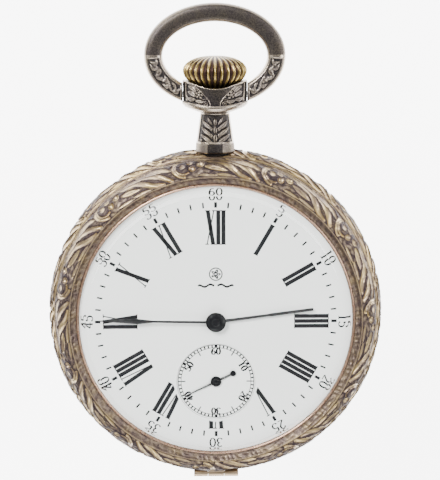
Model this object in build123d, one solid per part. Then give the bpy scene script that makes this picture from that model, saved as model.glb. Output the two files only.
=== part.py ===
"""Open face pocket watch: a crown-wound, hinged case with a small-seconds lever movement.

Millimetres. The watch lies on its back: +Z points out of the dial, +Y towards the
pendant at 12 o'clock and +X towards 3 o'clock. The origin is the centre of the flat
of the back cover.
"""
from math import acos, atan2, cos, degrees, hypot, radians, sin
import os

from build123d import *

# ---------------------------------------------------------------- driving dimensions
# case
CASE_R = 26.5            # widest radius of the case middle
SEAM_R = 25.5            # radius of the two seams
BACK_FLAT_R = 17.0       # flat centre of the back cover
BACK_SEAM_Z = 4.4        # seam between back cover and case middle
FRONT_SEAM_Z = 9.3       # seam between case middle and bezel
STEM_Z = 7.0             # height of the pendant, stem and bow axes
SHELL = 0.65             # sheet thickness of the back cover
SEAM_GAP = 0.05          # gap between closed covers and the case middle
OPENING_R = 21.5         # bezel opening
DIAL_Z = 11.5            # face of the dial
DIAL_R = 21.9
CRYSTAL_TOP_Z = 14.0
CRYSTAL_FLAT_R = 20.2
MOVEMENT_BORE_R = 21.3
SKIRT_R = 22.0           # inner radius behind the movement ledge
LEDGE_Z = 7.35
# hinges at 6 o'clock
HINGE_Y = -26.3
KNUCKLE_R = 0.6
HINGE_PIN_R = 0.25
HINGE_HALF = 3.6         # half the length of a case hinge
HINGE_MID = 1.3          # half the length of the middle knuckle
CUVETTE_R = 21.85
CUVETTE_Z = 2.55
CUVETTE_T = 0.25
CUVETTE_HINGE = (-22.5, 3.75)
CUVETTE_KNUCKLE_R = 0.42
CUVETTE_PIN_R = 0.18
CUVETTE_HALF = 3.0       # half the length of the inner cover's hinge
CUVETTE_MID = 1.0
HINGE_PLAY = 0.04        # end play between knuckles
PIN_PLAY = 0.03          # running clearance on the hinge pins
# pendant, crown and bow
NECK_BASE_R = 3.0
NECK_TOP_R = 2.1
NECK_TOP_Y = 32.9
CUP_TOP_Y = 37.0
CUP_HALF_X = 5.0
CUP_HALF_Z = 4.0
BOW_PIVOT_Y = 35.1
BOW_CENTRE_Y = 41.0
BOW_A = 9.5              # half axes of the bow's centre line
BOW_B = 6.6
BOW_RADIAL = 1.4         # half thickness of the bow in its own plane
BOW_DEPTH = 1.25         # half thickness across it
BOW_EYE_R = 1.15
BOW_EYE_X = (5.05, 6.6)
BOW_PIVOT_R = 0.5
BOW_PIVOT_X = (3.7, 6.25)
CROWN_R = 4.95
CROWN_Y = (35.9, 41.0)
CROWN_FLUTES = 28
STEM_R = 0.45
STEM_Y = (12.6, 38.5)
SLEEVE_R = 0.9
SLEEVE_Y = (21.6, 35.4)
PRESS_GAP = 0.02         # gap that stands for a pressed or soldered seat
# movement heights
BRIDGE_Z = (3.9, 5.2)
PLATE_Z = (7.6, 9.3)
FLANGE_R = 22.0
PLATE_TOP = 10.8         # seat of the dial
MOTION_FLOOR = 9.6       # floor of the motion work recess
MOVEMENT_R = 20.4
PLATE_R = 21.2
ARBOR_R = 0.25
PIVOT_CLEARANCE = 0.04
JEWEL_R = 0.8
# going train: pivots in plan, teeth and modules
CENTRE = (0.0, 0.0)
BARREL = (-7.99, 5.59)
THIRD = (4.94, -5.84)
FOURTH = (0.0, -9.87)
ESCAPE = (-3.2, -14.07)
BALANCE = (-9.5, -11.0)
BARREL_TEETH, CENTRE_LEAVES = 90, 12
CENTRE_TEETH, THIRD_LEAVES = 80, 10
THIRD_TEETH, FOURTH_LEAVES = 75, 10
FOURTH_TEETH, ESCAPE_LEAVES = 80, 8
ESCAPE_TEETH = 15
ESCAPE_R = 2.8
PALLET_REACH = 3.23      # escape arbor to pallet arbor
WHEEL_TOOTH = (0.27, 0.12)   # half width at root and tip, as parts of the pitch
LEAF_TOOTH = (0.24, 0.11)
ADDENDUM, DEDENDUM = 0.6, 0.95
ESCAPE_ARBOR_R, PALLET_ARBOR_R, STAFF_R = 0.2, 0.15, 0.18
BALANCE_RIM = (5.1, 5.55)
BALANCE_SCREWS = 14
# motion work
CANNON_LEAVES, MINUTE_TEETH = 12, 36
MINUTE_LEAVES, HOUR_TEETH = 10, 40
MOTION_DISTANCE = 3.36
MOTION_ANGLE = 35.0
# winding work
CROWN_WHEEL = (0.0, 11.3)
CROWN_TEETH, RATCHET_TEETH, WINDING_TEETH = 30, 40, 16
WINDING_Z = (3.3, 3.88)  # spur wheels on the back of the barrel bridge
CLICK_ANGLE = 128.0
CLICK_REACH = 2.2        # from the ratchet wheel's pitch circle to the click's pivot
LEVER_POST = (3.0, 18.0)
# hands at a quarter to three and forty seconds, clockwise from 12
HOUR_ANGLE, MINUTE_ANGLE, SECONDS_ANGLE = 83.5, 271.0, 244.0
HOUR_HAND_Z = (12.0, 12.14)
MINUTE_HAND_Z = (12.34, 12.48)
SECONDS_HAND_Z = (11.36, 11.5)
# fixings in plan
BARREL_SCREW_RING, BARREL_SCREW_ANGLES = 18.9, (45.0, 112.0, 172.0)
TRAIN_SCREW_RING, TRAIN_SCREW_ANGLES = 18.4, (2.0, -36.0, -66.0)
DIAL_FOOT_RING, DIAL_FOOT_ANGLES = 18.6, (20.0, 150.0, 265.0)
CASE_SCREW_RING, CASE_SCREW_ANGLES = 20.2, (-152.0, 28.0)
COCK_FOOT = (-17.0, -5.4)


# ---------------------------------------------------------------- shape helpers
def at(place, z=0.0):
    """A location at a point in plan."""
    return Pos(place[0], place[1], z)


def disc(radius, low, high, place=(0.0, 0.0)):
    """A cylinder along Z between two heights."""
    body = Cylinder(radius, high - low, align=(Align.CENTER, Align.CENTER, Align.MIN))
    return at(place, low) * body


def ring(inner, outer, low, high, place=(0.0, 0.0)):
    """A flat ring along Z between two heights."""
    return disc(outer, low, high, place) - disc(inner, low - 1, high + 1, place)


def rod_y(radius, low, high, x=0.0, z=STEM_Z):
    """A cylinder along Y between two values of y."""
    body = Cylinder(radius, high - low, align=(Align.CENTER, Align.CENTER, Align.MIN))
    return Pos(x, low, z) * Rot(-90, 0, 0) * body


def rod_x(radius, low, high, y, z):
    """A cylinder along X between two values of x."""
    body = Cylinder(radius, high - low, align=(Align.CENTER, Align.CENTER, Align.MIN))
    return Pos(low, y, z) * Rot(0, 90, 0) * body


def block(x, y, z):
    """A box between pairs of coordinates."""
    size = (x[1] - x[0], y[1] - y[0], z[1] - z[0])
    return Pos(x[0], y[0], z[0]) * Box(*size, align=(Align.MIN, Align.MIN, Align.MIN))


def prism(points, low, high):
    """A polygon in plan, given height."""
    face = make_face(Polyline(*[(x, y) for x, y in points], close=True))
    return Pos(0, 0, low) * extrude(face, high - low)


def turned(edges):
    """A closed outline in the r-z plane, revolved about Z."""
    return revolve(make_face(edges), axis=Axis.Z)


def profile(points):
    """A closed polygon of (r, z) points, revolved about Z."""
    return turned(Polyline(*[(r, 0, z) for r, z in points], close=True))


def profile_y(points):
    """A closed polygon of (r, y) points, revolved about the stem's axis."""
    face = make_face(Polyline(*[(r, y, 0) for r, y in points], close=True))
    return Pos(0, 0, STEM_Z) * revolve(face, axis=Axis.Y)


def polar(radius, angle, centre=(0.0, 0.0)):
    """A point in plan at a radius and an angle in degrees, counter-clockwise from +X."""
    a = radians(angle)
    return centre[0] + radius * cos(a), centre[1] + radius * sin(a)


def bearing(a, b):
    """Direction from a to b in degrees."""
    return degrees(atan2(b[1] - a[1], b[0] - a[0]))


def sector(inner, outer, start, stop, low, high):
    """A ring sector between two angles in degrees."""
    steps = max(4, int(abs(stop - start) / 6))
    angles = [start + (stop - start) * k / steps for k in range(steps + 1)]
    reach = outer * 1.3
    wedge = prism([(0.0, 0.0)] + [polar(reach, a) for a in angles], low - 0.5, high + 0.5)
    return ring(inner, outer, low, high) & wedge


# ---------------------------------------------------------------- gears
def toothed(teeth, pitch_r, low, high, place, phase, width):
    """A gear with tapered teeth of a half width at root and tip, as parts of the pitch."""
    module = 2 * pitch_r / teeth
    step = 360 / teeth
    root = (pitch_r - DEDENDUM * module, step * width[0])
    tip = (pitch_r + ADDENDUM * module, step * width[1])
    corners = [(root[0], -root[1]), (tip[0], -tip[1]), tip, root]
    points = []
    for k in range(teeth):
        for radius, turn in corners:
            points.append(polar(radius, phase + k * step + turn, place))
    return prism(points, low, high)


def mesh_phase(a, phase_a, teeth_a, b, teeth_b):
    """The phase that puts a gap of gear b on a tooth of gear a."""
    line = bearing(a, b)
    step_a, step_b = 360 / teeth_a, 360 / teeth_b
    part = ((line - phase_a) / step_a) % 1
    return line + 180 + (part + 0.5) * step_b


def spoked(body, place, rim_r, hub_r, low, high, arms=4, arm=0.5, start=45.0):
    """Cuts the windows between the arms of a wheel."""
    windows = ring(hub_r, rim_r, low - 0.1, high + 0.1, place)
    for k in range(arms):
        spoke = Pos(rim_r, 0, 0) * Box(2 * rim_r, arm, high - low + 1)
        windows -= at(place, (low + high) / 2) * Rot(0, 0, start + 360 * k / arms) * spoke
    return body - windows


def arbor(place, low, high, radius=ARBOR_R):
    """A wheel's arbor between its two bearings."""
    return disc(radius, low, high, place)


def distance(a, b):
    """Distance between two points in plan."""
    return hypot(a[0] - b[0], a[1] - b[1])


def pitch_radii(a, b, teeth_a, teeth_b):
    """The pitch radii of two meshing gears."""
    total = distance(a, b)
    return total * teeth_a / (teeth_a + teeth_b), total * teeth_b / (teeth_a + teeth_b)


# ---------------------------------------------------------------- places worked out from them
FRONT_HINGE_Z = FRONT_SEAM_Z + SEAM_GAP / 2
BACK_HINGE_Z = BACK_SEAM_Z - SEAM_GAP / 2
MINUTE_POST = polar(MOTION_DISTANCE, MOTION_ANGLE)
PALLET = polar(PALLET_REACH, bearing(ESCAPE, BALANCE), ESCAPE)
barrel_pitch, centre_leaf_pitch = pitch_radii(BARREL, CENTRE, BARREL_TEETH, CENTRE_LEAVES)
centre_pitch, third_leaf_pitch = pitch_radii(CENTRE, THIRD, CENTRE_TEETH, THIRD_LEAVES)
third_pitch, fourth_leaf_pitch = pitch_radii(THIRD, FOURTH, THIRD_TEETH, FOURTH_LEAVES)
fourth_pitch, escape_leaf_pitch = pitch_radii(FOURTH, ESCAPE, FOURTH_TEETH, ESCAPE_LEAVES)
cannon_pitch, minute_pitch = pitch_radii(CENTRE, MINUTE_POST, CANNON_LEAVES, MINUTE_TEETH)
hour_pitch, minute_leaf_pitch = pitch_radii(CENTRE, MINUTE_POST, HOUR_TEETH, MINUTE_LEAVES)
crown_pitch, ratchet_pitch = pitch_radii(CROWN_WHEEL, BARREL, CROWN_TEETH, RATCHET_TEETH)
winding_pitch = crown_pitch * WINDING_TEETH / CROWN_TEETH
CLICK_PIVOT = polar(ratchet_pitch + CLICK_REACH, CLICK_ANGLE, BARREL)
PALLET_LINE = bearing(PALLET, BALANCE)
PALLET_FOOT = polar(3.0, bearing(ESCAPE, BALANCE) + 90, PALLET)
STONE_PLACES = [polar(ESCAPE_R + 0.16, PALLET_LINE + side * 30, ESCAPE) for side in (-1, 1)]
TRAIN_PIVOTS = ((CENTRE, ARBOR_R), (THIRD, ARBOR_R), (FOURTH, ARBOR_R), (ESCAPE, ESCAPE_ARBOR_R))
LEVER_PIVOTS = ((PALLET, PALLET_ARBOR_R), (BALANCE, STAFF_R))
BARREL_SCREWS = [polar(BARREL_SCREW_RING, a) for a in BARREL_SCREW_ANGLES]
TRAIN_SCREWS = [polar(TRAIN_SCREW_RING, a) for a in TRAIN_SCREW_ANGLES]
DIAL_FEET = [polar(DIAL_FOOT_RING, a) for a in DIAL_FOOT_ANGLES]
CASE_SCREWS = [polar(CASE_SCREW_RING, a) for a in CASE_SCREW_ANGLES]


# ---------------------------------------------------------------- case
def case_outline():
    """The case middle as a full disc, without its bores."""
    low, high = (SEAM_R, 0, BACK_SEAM_Z), (SEAM_R, 0, FRONT_SEAM_Z)
    bulge = ThreePointArc(low, (CASE_R, 0, (BACK_SEAM_Z + FRONT_SEAM_Z) / 2), high)
    edges = [Line((0, 0, BACK_SEAM_Z), low), bulge, Line(high, (0, 0, FRONT_SEAM_Z))]
    edges.append(Line((0, 0, FRONT_SEAM_Z), (0, 0, BACK_SEAM_Z)))
    return turned(edges)


def hinge_knuckles(z, web_z, spans):
    """Knuckles of a case hinge on the given spans of x, each with its web."""
    parts = []
    for low, high in spans:
        web = block((low, high), (HINGE_Y, -24.6), web_z)
        parts.append(rod_x(KNUCKLE_R, low, high, HINGE_Y, z) + web)
    return parts


def side_spans():
    """The two outer spans of a case hinge."""
    return [(-HINGE_HALF, -HINGE_MID - HINGE_PLAY), (HINGE_MID + HINGE_PLAY, HINGE_HALF)]


def case_middle():
    """The band of the case, with its ledge, skirt, stem bore and hinge knuckles."""
    low, high = (SEAM_R, 0, BACK_SEAM_Z), (SEAM_R, 0, FRONT_SEAM_Z)
    skirt_z = CUVETTE_Z + CUVETTE_T + 0.05
    edges = [ThreePointArc(low, (CASE_R, 0, (BACK_SEAM_Z + FRONT_SEAM_Z) / 2), high)]
    points = [high, (MOVEMENT_BORE_R, 0, FRONT_SEAM_Z), (MOVEMENT_BORE_R, 0, LEDGE_Z)]
    points += [(SKIRT_R, 0, LEDGE_Z), (SKIRT_R, 0, skirt_z), (SKIRT_R + 0.5, 0, skirt_z)]
    points += [(SKIRT_R + 0.5, 0, BACK_SEAM_Z), low]
    edges += [Line(a, b) for a, b in zip(points, points[1:])]
    body = turned(edges)
    body -= block((-3.4, 3.4), (-23.9, -21.4), (2.0, BACK_SEAM_Z))
    for part in hinge_knuckles(FRONT_HINGE_Z, (8.7, FRONT_SEAM_Z), side_spans()):
        body += part
    for part in hinge_knuckles(BACK_HINGE_Z, (BACK_SEAM_Z, 5.0), side_spans()):
        body += part
    y, z = CUVETTE_HINGE
    inner = CUVETTE_MID + HINGE_PLAY
    for low, high in ((-CUVETTE_HALF, -inner), (inner, CUVETTE_HALF)):
        body += rod_x(CUVETTE_KNUCKLE_R, low, high, y, z)
        body += block((low, high), (y - 0.3, y + 0.3), (z, BACK_SEAM_Z + 0.3))
    body -= rod_x(HINGE_PIN_R, -HINGE_HALF, HINGE_HALF, HINGE_Y, FRONT_HINGE_Z)
    body -= rod_x(HINGE_PIN_R, -HINGE_HALF, HINGE_HALF, HINGE_Y, BACK_HINGE_Z)
    body -= rod_x(CUVETTE_PIN_R, -CUVETTE_HALF, CUVETTE_HALF, y, z)
    return body - rod_y(SLEEVE_R + PRESS_GAP, 18, 30)


def bezel():
    """The hinged front ring that holds the crystal."""
    seam_z = FRONT_SEAM_Z + SEAM_GAP
    low, shoulder, bead = (SEAM_R, 0, seam_z), (24.9, 0, 11.6), (22.9, 0, 12.75)
    edges = [ThreePointArc(low, shoulder, bead)]
    points = [bead, (22.1, 0, 12.4), (OPENING_R, 0, 12.6), (OPENING_R, 0, 12.4), (21.8, 0, 12.4)]
    points += [(21.8, 0, 12.0), (21.35, 0, 12.0), (21.35, 0, 11.65), (22.3, 0, 11.65)]
    points += [(22.3, 0, seam_z), low]
    edges += [Line(a, b) for a, b in zip(points, points[1:])]
    body = turned(edges)
    for part in hinge_knuckles(FRONT_HINGE_Z, (seam_z, 9.95), [(-HINGE_MID, HINGE_MID)]):
        body += part
    return body - rod_x(HINGE_PIN_R + PIN_PLAY, -HINGE_HALF, HINGE_HALF, HINGE_Y, FRONT_HINGE_Z)


def back_arc(inset):
    """The rounded shoulder of the back cover as three points, moved inwards by inset."""
    top_z = BACK_SEAM_Z - SEAM_GAP
    run = SEAM_R - BACK_FLAT_R
    bend = (run * run + top_z * top_z) / (2 * top_z)
    last = acos((bend - top_z) / (bend - inset))
    turns = (0.0, last / 2, last)
    return [(BACK_FLAT_R + (bend - inset) * sin(a), 0, bend - (bend - inset) * cos(a)) for a in turns]


def back_cover():
    """The hinged outer back."""
    outer, inner = back_arc(0.0), back_arc(SHELL)
    edges = [Line((0, 0, 0), outer[0]), ThreePointArc(*outer), Line(outer[2], inner[2])]
    edges += [ThreePointArc(*inner), Line(inner[0], (0, 0, SHELL)), Line((0, 0, SHELL), (0, 0, 0))]
    body = turned(edges)
    top_z = BACK_SEAM_Z - SEAM_GAP
    for part in hinge_knuckles(BACK_HINGE_Z, (3.75, top_z), [(-HINGE_MID, HINGE_MID)]):
        body += part
    return body - rod_x(HINGE_PIN_R + PIN_PLAY, -HINGE_HALF, HINGE_HALF, HINGE_Y, BACK_HINGE_Z)


def cuvette():
    """The thin inner cover over the movement, with its knuckle."""
    body = disc(CUVETTE_R, CUVETTE_Z, CUVETTE_Z + CUVETTE_T)
    y, z = CUVETTE_HINGE
    span = (-CUVETTE_MID, CUVETTE_MID)
    body += rod_x(CUVETTE_KNUCKLE_R, *span, y, z)
    body += block(span, (y - 0.15, -21.0), (CUVETTE_Z, CUVETTE_Z + CUVETTE_T))
    body += block(span, (y - 0.15, y + 0.15), (CUVETTE_Z, z))
    return body - rod_x(CUVETTE_PIN_R + PIN_PLAY, -CUVETTE_HALF, CUVETTE_HALF, y, z)


def crystal():
    """The flat-topped glass with its wide bevel."""
    points = [(0, 13.0), (19.9, 13.0), (20.7, 12.05), (21.75, 12.05), (21.75, 12.32)]
    points += [(OPENING_R - 0.08, 12.36), (CRYSTAL_FLAT_R, CRYSTAL_TOP_Z), (0, CRYSTAL_TOP_Z)]
    return profile(points)


# ---------------------------------------------------------------- pendant, crown, bow
def pendant_neck():
    """The tapered neck between the case middle and the cup."""
    points = [(0, 24.0), (NECK_BASE_R, 24.0), (NECK_BASE_R, 27.8), (2.7, 28.1)]
    points += [(NECK_TOP_R, 32.2), (2.4, NECK_TOP_Y), (0, NECK_TOP_Y)]
    body = profile_y(points)
    body -= case_outline()
    body -= disc(SEAM_R + 0.06, 0, CRYSTAL_TOP_Z)
    return body - rod_y(SLEEVE_R + PRESS_GAP, 20, 40)


def crown_cup():
    """The cup that shields the crown's base and carries the bow."""
    body = Pos(0, (NECK_TOP_Y + CUP_TOP_Y) / 2, STEM_Z) * Box(
        2 * CUP_HALF_X, CUP_TOP_Y - NECK_TOP_Y, 2 * CUP_HALF_Z
    )
    body = chamfer(body.edges().filter_by(Axis.Y), 1.6)
    body = chamfer(body.faces().sort_by(Axis.Y)[0].edges(), 0.8)
    body -= profile_y([(0, 35.6), (3.95, 35.6), (4.6, CUP_TOP_Y + 0.1), (0, CUP_TOP_Y + 0.1)])
    body -= rod_y(SLEEVE_R + PRESS_GAP, 30, 40)
    for side in (-1, 1):
        low, high = sorted((side * BOW_PIVOT_X[0], side * (CUP_HALF_X + 0.2)))
        body -= rod_x(BOW_PIVOT_R, low, high, BOW_PIVOT_Y, STEM_Z)
    return body


def bow_line():
    """The bow's centre line: an ellipse, open at the bottom between its two eyes."""
    eye_x = sum(BOW_EYE_X) / 2 - 0.075
    start = degrees(acos(eye_x / BOW_A))
    sweep_angle = 180 + 2 * start
    return EllipticalCenterArc((0, BOW_CENTRE_Y, STEM_Z), BOW_A, BOW_B, -start, arc_size=sweep_angle)


def bow():
    """The bow, with an eye at each end that turns on its pivot."""
    path = bow_line()
    plane = Plane(origin=path @ 0, z_dir=path % 0, x_dir=(0, 0, 1))
    body = sweep(plane * Ellipse(BOW_DEPTH, BOW_RADIAL), path=path)
    near, far = BOW_EYE_X
    for side in (-1, 1):
        low, high = sorted((side * near, side * far))
        body += rod_x(BOW_EYE_R, low, high, BOW_PIVOT_Y, STEM_Z)
    body -= block((-near, near), (30, 38), (0, CRYSTAL_TOP_Z))
    reach = BOW_PIVOT_X[1] + 0.05
    return body - rod_x(BOW_PIVOT_R + PIN_PLAY, -reach, reach, BOW_PIVOT_Y, STEM_Z)


def bow_pivots():
    """The two screws that carry the bow."""
    spans = [sorted((side * BOW_PIVOT_X[0], side * BOW_PIVOT_X[1])) for side in (-1, 1)]
    return [rod_x(BOW_PIVOT_R, low, high, BOW_PIVOT_Y, STEM_Z) for low, high in spans]


def crown():
    """The onion crown with its flutes."""
    low, high = CROWN_Y
    edges = [Line((0, low), (2.4, low)), Line((2.4, low), (3.4, 36.45))]
    edges += [ThreePointArc((3.4, 36.45), (CROWN_R, 38.5), (4.1, 40.25))]
    edges += [Line((4.1, 40.25), (2.2, high)), Line((2.2, high), (0, high)), Line((0, high), (0, low))]
    body = Pos(0, 0, STEM_Z) * revolve(make_face(edges), axis=Axis.Y)
    flute = rod_y(0.16, 36.9, 40.1, x=CROWN_R + 0.02, z=0)
    for k in range(CROWN_FLUTES):
        body -= Pos(0, 0, STEM_Z) * Rot(0, 360 * k / CROWN_FLUTES, 0) * flute
    return body - rod_y(STEM_R, 30, STEM_Y[1])


def winding_stem():
    """The stem, with the groove that the setting lever holds."""
    body = rod_y(STEM_R, *STEM_Y)
    return body - (rod_y(1.0, 18.25, 19.05) - rod_y(0.25, 18, 20))


def pendant_sleeve():
    """The sleeve that guides the stem through the neck."""
    return rod_y(SLEEVE_R, *SLEEVE_Y) - rod_y(STEM_R + PIVOT_CLEARANCE, 20, 40)


# ---------------------------------------------------------------- winding work
def gear_y(teeth, pitch_r, low, high, width):
    """A gear on the stem's axis with one tooth pointing to the back."""
    flat = toothed(teeth, pitch_r, 0, high - low, (0, 0), -90, width)
    return Pos(0, low, STEM_Z) * Rot(90, 0, 0) * Pos(0, 0, low - high) * flat


def winding_pinion():
    """The pinion that drives the crown wheel."""
    body = gear_y(WINDING_TEETH, winding_pitch, 15.1, 15.95, LEAF_TOOTH)
    body += rod_y(1.2, 14.95, 17.2)
    return body - rod_y(STEM_R + 0.01, 12, 20)


def sliding_pinion():
    """The grooved pinion on the stem, behind the winding pinion."""
    body = rod_y(1.5, 12.8, 14.9) - (rod_y(2.0, 13.7, 14.2) - rod_y(1.0, 13, 15))
    for k in range(12):
        tooth = Rot(0, 30 * k, 0) * Pos(1.5, 0, 0) * Box(0.5, 0.5, 0.32)
        body -= Pos(0, 12.9, STEM_Z) * tooth
    return body - rod_y(STEM_R + 0.01, 12, 20)


def crown_wheel():
    """The crown wheel: spur teeth for the ratchet, face teeth for the winding pinion."""
    body = toothed(CROWN_TEETH, crown_pitch, *WINDING_Z, CROWN_WHEEL, 0, WHEEL_TOOTH)
    skirt = ring(3.7, 4.55, WINDING_Z[1], 4.97, CROWN_WHEEL)
    step = 360 / CROWN_TEETH
    for k in range(CROWN_TEETH):
        gap = Rot(0, 0, 90 + k * step) * Pos(4.2, 0, 4.72) * Box(1.4, 0.56, 0.54)
        skirt -= at(CROWN_WHEEL) * gap
    body += skirt
    return body - disc(1.55, 3, 4.2, CROWN_WHEEL)


def ratchet_wheel():
    """The ratchet wheel on the barrel arbor's square."""
    phase = mesh_phase(CROWN_WHEEL, 0, CROWN_TEETH, BARREL, RATCHET_TEETH)
    body = toothed(RATCHET_TEETH, ratchet_pitch, *WINDING_Z, BARREL, phase, WHEEL_TOOTH)
    return body - at(BARREL, 3.6) * Box(1.3, 1.3, 2)


def slotted_screw(place, head_r, head_z, shank_r, end_z, angle):
    """A screw with a slotted head towards the back."""
    body = disc(head_r, head_z[0], head_z[1], place) + disc(shank_r, head_z[1], end_z, place)
    slot = Rot(0, 0, angle) * Box(2.2 * head_r, 0.28 * head_r, 0.3)
    return body - at(place, head_z[0]) * slot


def barrel_arbor():
    """The arbor that winds the mainspring, square at its ratchet end."""
    body = disc(1.0, 5.22, 7.55, BARREL) + disc(1.7, 5.75, 6.55, BARREL)
    body += disc(0.95, 3.9, 5.22, BARREL)
    body += at(BARREL, 3.62) * Box(1.26, 1.26, 0.56)
    return body + disc(0.6, 7.5, 9.2, BARREL) - disc(0.35, 3, 4.6, BARREL)


def click():
    """The click that stops the ratchet wheel turning back."""
    pivot = CLICK_PIVOT
    beak = polar(ratchet_pitch + 0.28, CLICK_ANGLE + 16, BARREL)
    left = polar(ratchet_pitch + 1.3, CLICK_ANGLE + 22, BARREL)
    body = disc(1.0, 3.35, 3.88, pivot)
    near_side = polar(0.85, bearing(pivot, beak) + 90, pivot)
    far_side = polar(0.85, bearing(pivot, left) - 90, pivot)
    body += prism([near_side, beak, left, far_side], 3.35, 3.88)
    return body - disc(0.44, 3, 4, pivot)


def click_spring():
    """The bent wire spring that holds the click in the ratchet wheel."""
    pivot = CLICK_PIVOT
    inner = [polar(1.4, a, pivot) for a in range(40, 200, 10)]
    outer = [polar(1.6, a, pivot) for a in range(190, 30, -10)]
    return prism(inner + outer, 3.5, 3.8) + disc(0.5, 3.4, 3.88, polar(1.75, 40, pivot))


def setting_lever():
    """The lever whose pin rides in the stem's groove."""
    low, high = MOTION_FLOOR + PRESS_GAP, 10.2
    pin = (0.0, 18.65)
    body = disc(0.8, low, high, LEVER_POST) + disc(0.45, low, high, pin)
    body += prism([(3.0, 17.4), (3.0, 18.6), (0.0, 19.0), (0.0, 18.3)], low, high)
    body += disc(0.2, 7.32, 9.7, pin)
    return body - disc(0.33, 9, 11, LEVER_POST)


# ---------------------------------------------------------------- plate and bridges
def above_split(low, high):
    """The barrel's side of the line that parts the barrel and train bridges."""
    return prism([(-24, -5.6), (24, 10.6), (24, 30), (-24, 30)], low, high)


def screw_holes(body, places):
    """Cuts counterbores and holes for bridge screws."""
    for place in places:
        body -= disc(0.95, 3.0, 4.3, place)
        body -= disc(0.5, 4.0, 9.0, place)
    return body


def barrel_bridge():
    """The bridge over the barrel and the winding wheels."""
    low, high = BRIDGE_Z
    body = disc(MOVEMENT_R, low, high) & above_split(low, high)
    body += sector(18.85, MOVEMENT_R, 99, 182, high, PLATE_Z[0])
    body += sector(14.5, MOVEMENT_R, 34, 80, high, PLATE_Z[0])
    body -= ring(3.5, 4.75, low - 1, 5.05, CROWN_WHEEL)
    body -= block((-2.7, 2.7), (14.6, 17.6), (4.3, 9))
    body -= rod_y(1.05, 10, 30)
    body -= block((-1.7, 1.7), (12.4, 15.2), (5.1, 9))
    body -= disc(1.02, 3, 6, BARREL)
    body -= disc(7.6, low - 1, high + 4, BALANCE) + disc(2.7, low - 1, high + 4, COCK_FOOT)
    body -= disc(0.54, low - 1, 5.05, CROWN_WHEEL)
    body -= disc(0.42, low - 1, 5.0, CLICK_PIVOT)
    return screw_holes(body, BARREL_SCREWS)


def train_bridge():
    """The bridge over the centre, third, fourth and escape arbors."""
    low, high = BRIDGE_Z
    body = disc(MOVEMENT_R, low, high) - above_split(low - 1, high + 1)
    body -= prism([(-24, -5.9), (24, 10.3), (24, 12), (-24, -4)], low - 1, high + 1)
    body += sector(15.0, MOVEMENT_R, -76, 14, high, PLATE_Z[0])
    body -= prism([(-24, 0), (-6.6, -1.5), (-4.6, -8), (-4.9, -16), (-6.5, -22), (-24, -22)], low - 1, 8)
    for place, _ in TRAIN_PIVOTS:
        body -= disc(JEWEL_R + 0.01, low - 1, high + 1, place)
    return screw_holes(body, TRAIN_SCREWS)


def balance_cock():
    """The cock that carries the balance's back pivot."""
    low, high = BRIDGE_Z[0], 5.0
    along = bearing(COCK_FOOT, BALANCE)
    corners = [polar(2.5, along + 90, COCK_FOOT), polar(2.5, along - 90, COCK_FOOT)]
    corners += [polar(1.5, along - 90, BALANCE), polar(1.5, along + 90, BALANCE)]
    body = disc(2.5, low, PLATE_Z[0], COCK_FOOT) + prism(corners, low, high)
    body += disc(2.2, low, high, BALANCE)
    body = body & disc(MOVEMENT_R, 0, 10)
    body -= disc(7.2, 5.0, 9, BALANCE)
    body -= disc(JEWEL_R + 0.01, 3, 6, BALANCE)
    return screw_holes(body, [COCK_FOOT])


def pallet_cock():
    """The small bridge over the pallet arbor."""
    along = bearing(PALLET, PALLET_FOOT)
    corners = [polar(0.9, along + 90, PALLET), polar(0.9, along - 90, PALLET)]
    corners += [polar(1.1, along - 90, PALLET_FOOT), polar(1.1, along + 90, PALLET_FOOT)]
    body = prism(corners, 6.45, 6.8) + disc(0.9, 6.45, 6.8, PALLET) + disc(1.1, 6.45, 7.6, PALLET_FOOT)
    return body - disc(0.2, 6, 7, PALLET)


def main_plate():
    """The plate that carries the whole movement, with its dial-side recesses."""
    body = disc(PLATE_R, *PLATE_Z) + disc(FLANGE_R, PLATE_Z[1] + 0.02, PLATE_TOP)
    body += disc(PLATE_R, PLATE_Z[1] - 0.1, PLATE_Z[1] + 0.1)
    body -= disc(3.2, MOTION_FLOOR, 12) + disc(3.0, MOTION_FLOOR, 12, MINUTE_POST)
    body -= disc(6.7, 10.5, 12, FOURTH)
    body -= block((-2.7, 2.7), (12.4, 17.6), (7, 9.4))
    body -= rod_y(1.05, 10, 30)
    body -= prism([(-1.4, 17.2), (5.0, 16.6), (5.0, 19.6), (-1.4, 20.4)], MOTION_FLOOR, 12)
    body -= block((-0.9, 0.7), (18.2, 19.8), (8, 10))
    for place, _ in TRAIN_PIVOTS[1:] + LEVER_PIVOTS:
        body -= disc(JEWEL_R + 0.01, 7, 8.8, place)
    for place in (THIRD, ESCAPE, PALLET, BALANCE):
        body -= disc(0.4, 8.5, 9.2, place)
    body -= disc(0.5, 7, 12, FOURTH) + disc(JEWEL_R + 0.01, 7, 9.7, CENTRE)
    body -= disc(0.65, 7, 9.3, BARREL)
    for place in BARREL_SCREWS + TRAIN_SCREWS + [COCK_FOOT]:
        body -= disc(0.43, 7, 8.9, place)
    for place in DIAL_FEET:
        body -= disc(0.42, 9.0, 12, place)
    for place in CASE_SCREWS:
        body -= disc(0.42, 7, 8.8, place)
    body += disc(0.3, MOTION_FLOOR - 0.2, 10.75, MINUTE_POST)
    return body + disc(0.3, MOTION_FLOOR - 0.2, 10.4, LEVER_POST)


def jewels(pivots, low, high):
    """Bearing jewels, one for each pivot and its radius."""
    return [ring(radius + PIVOT_CLEARANCE, JEWEL_R, low, high, place) for place, radius in pivots]


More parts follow.
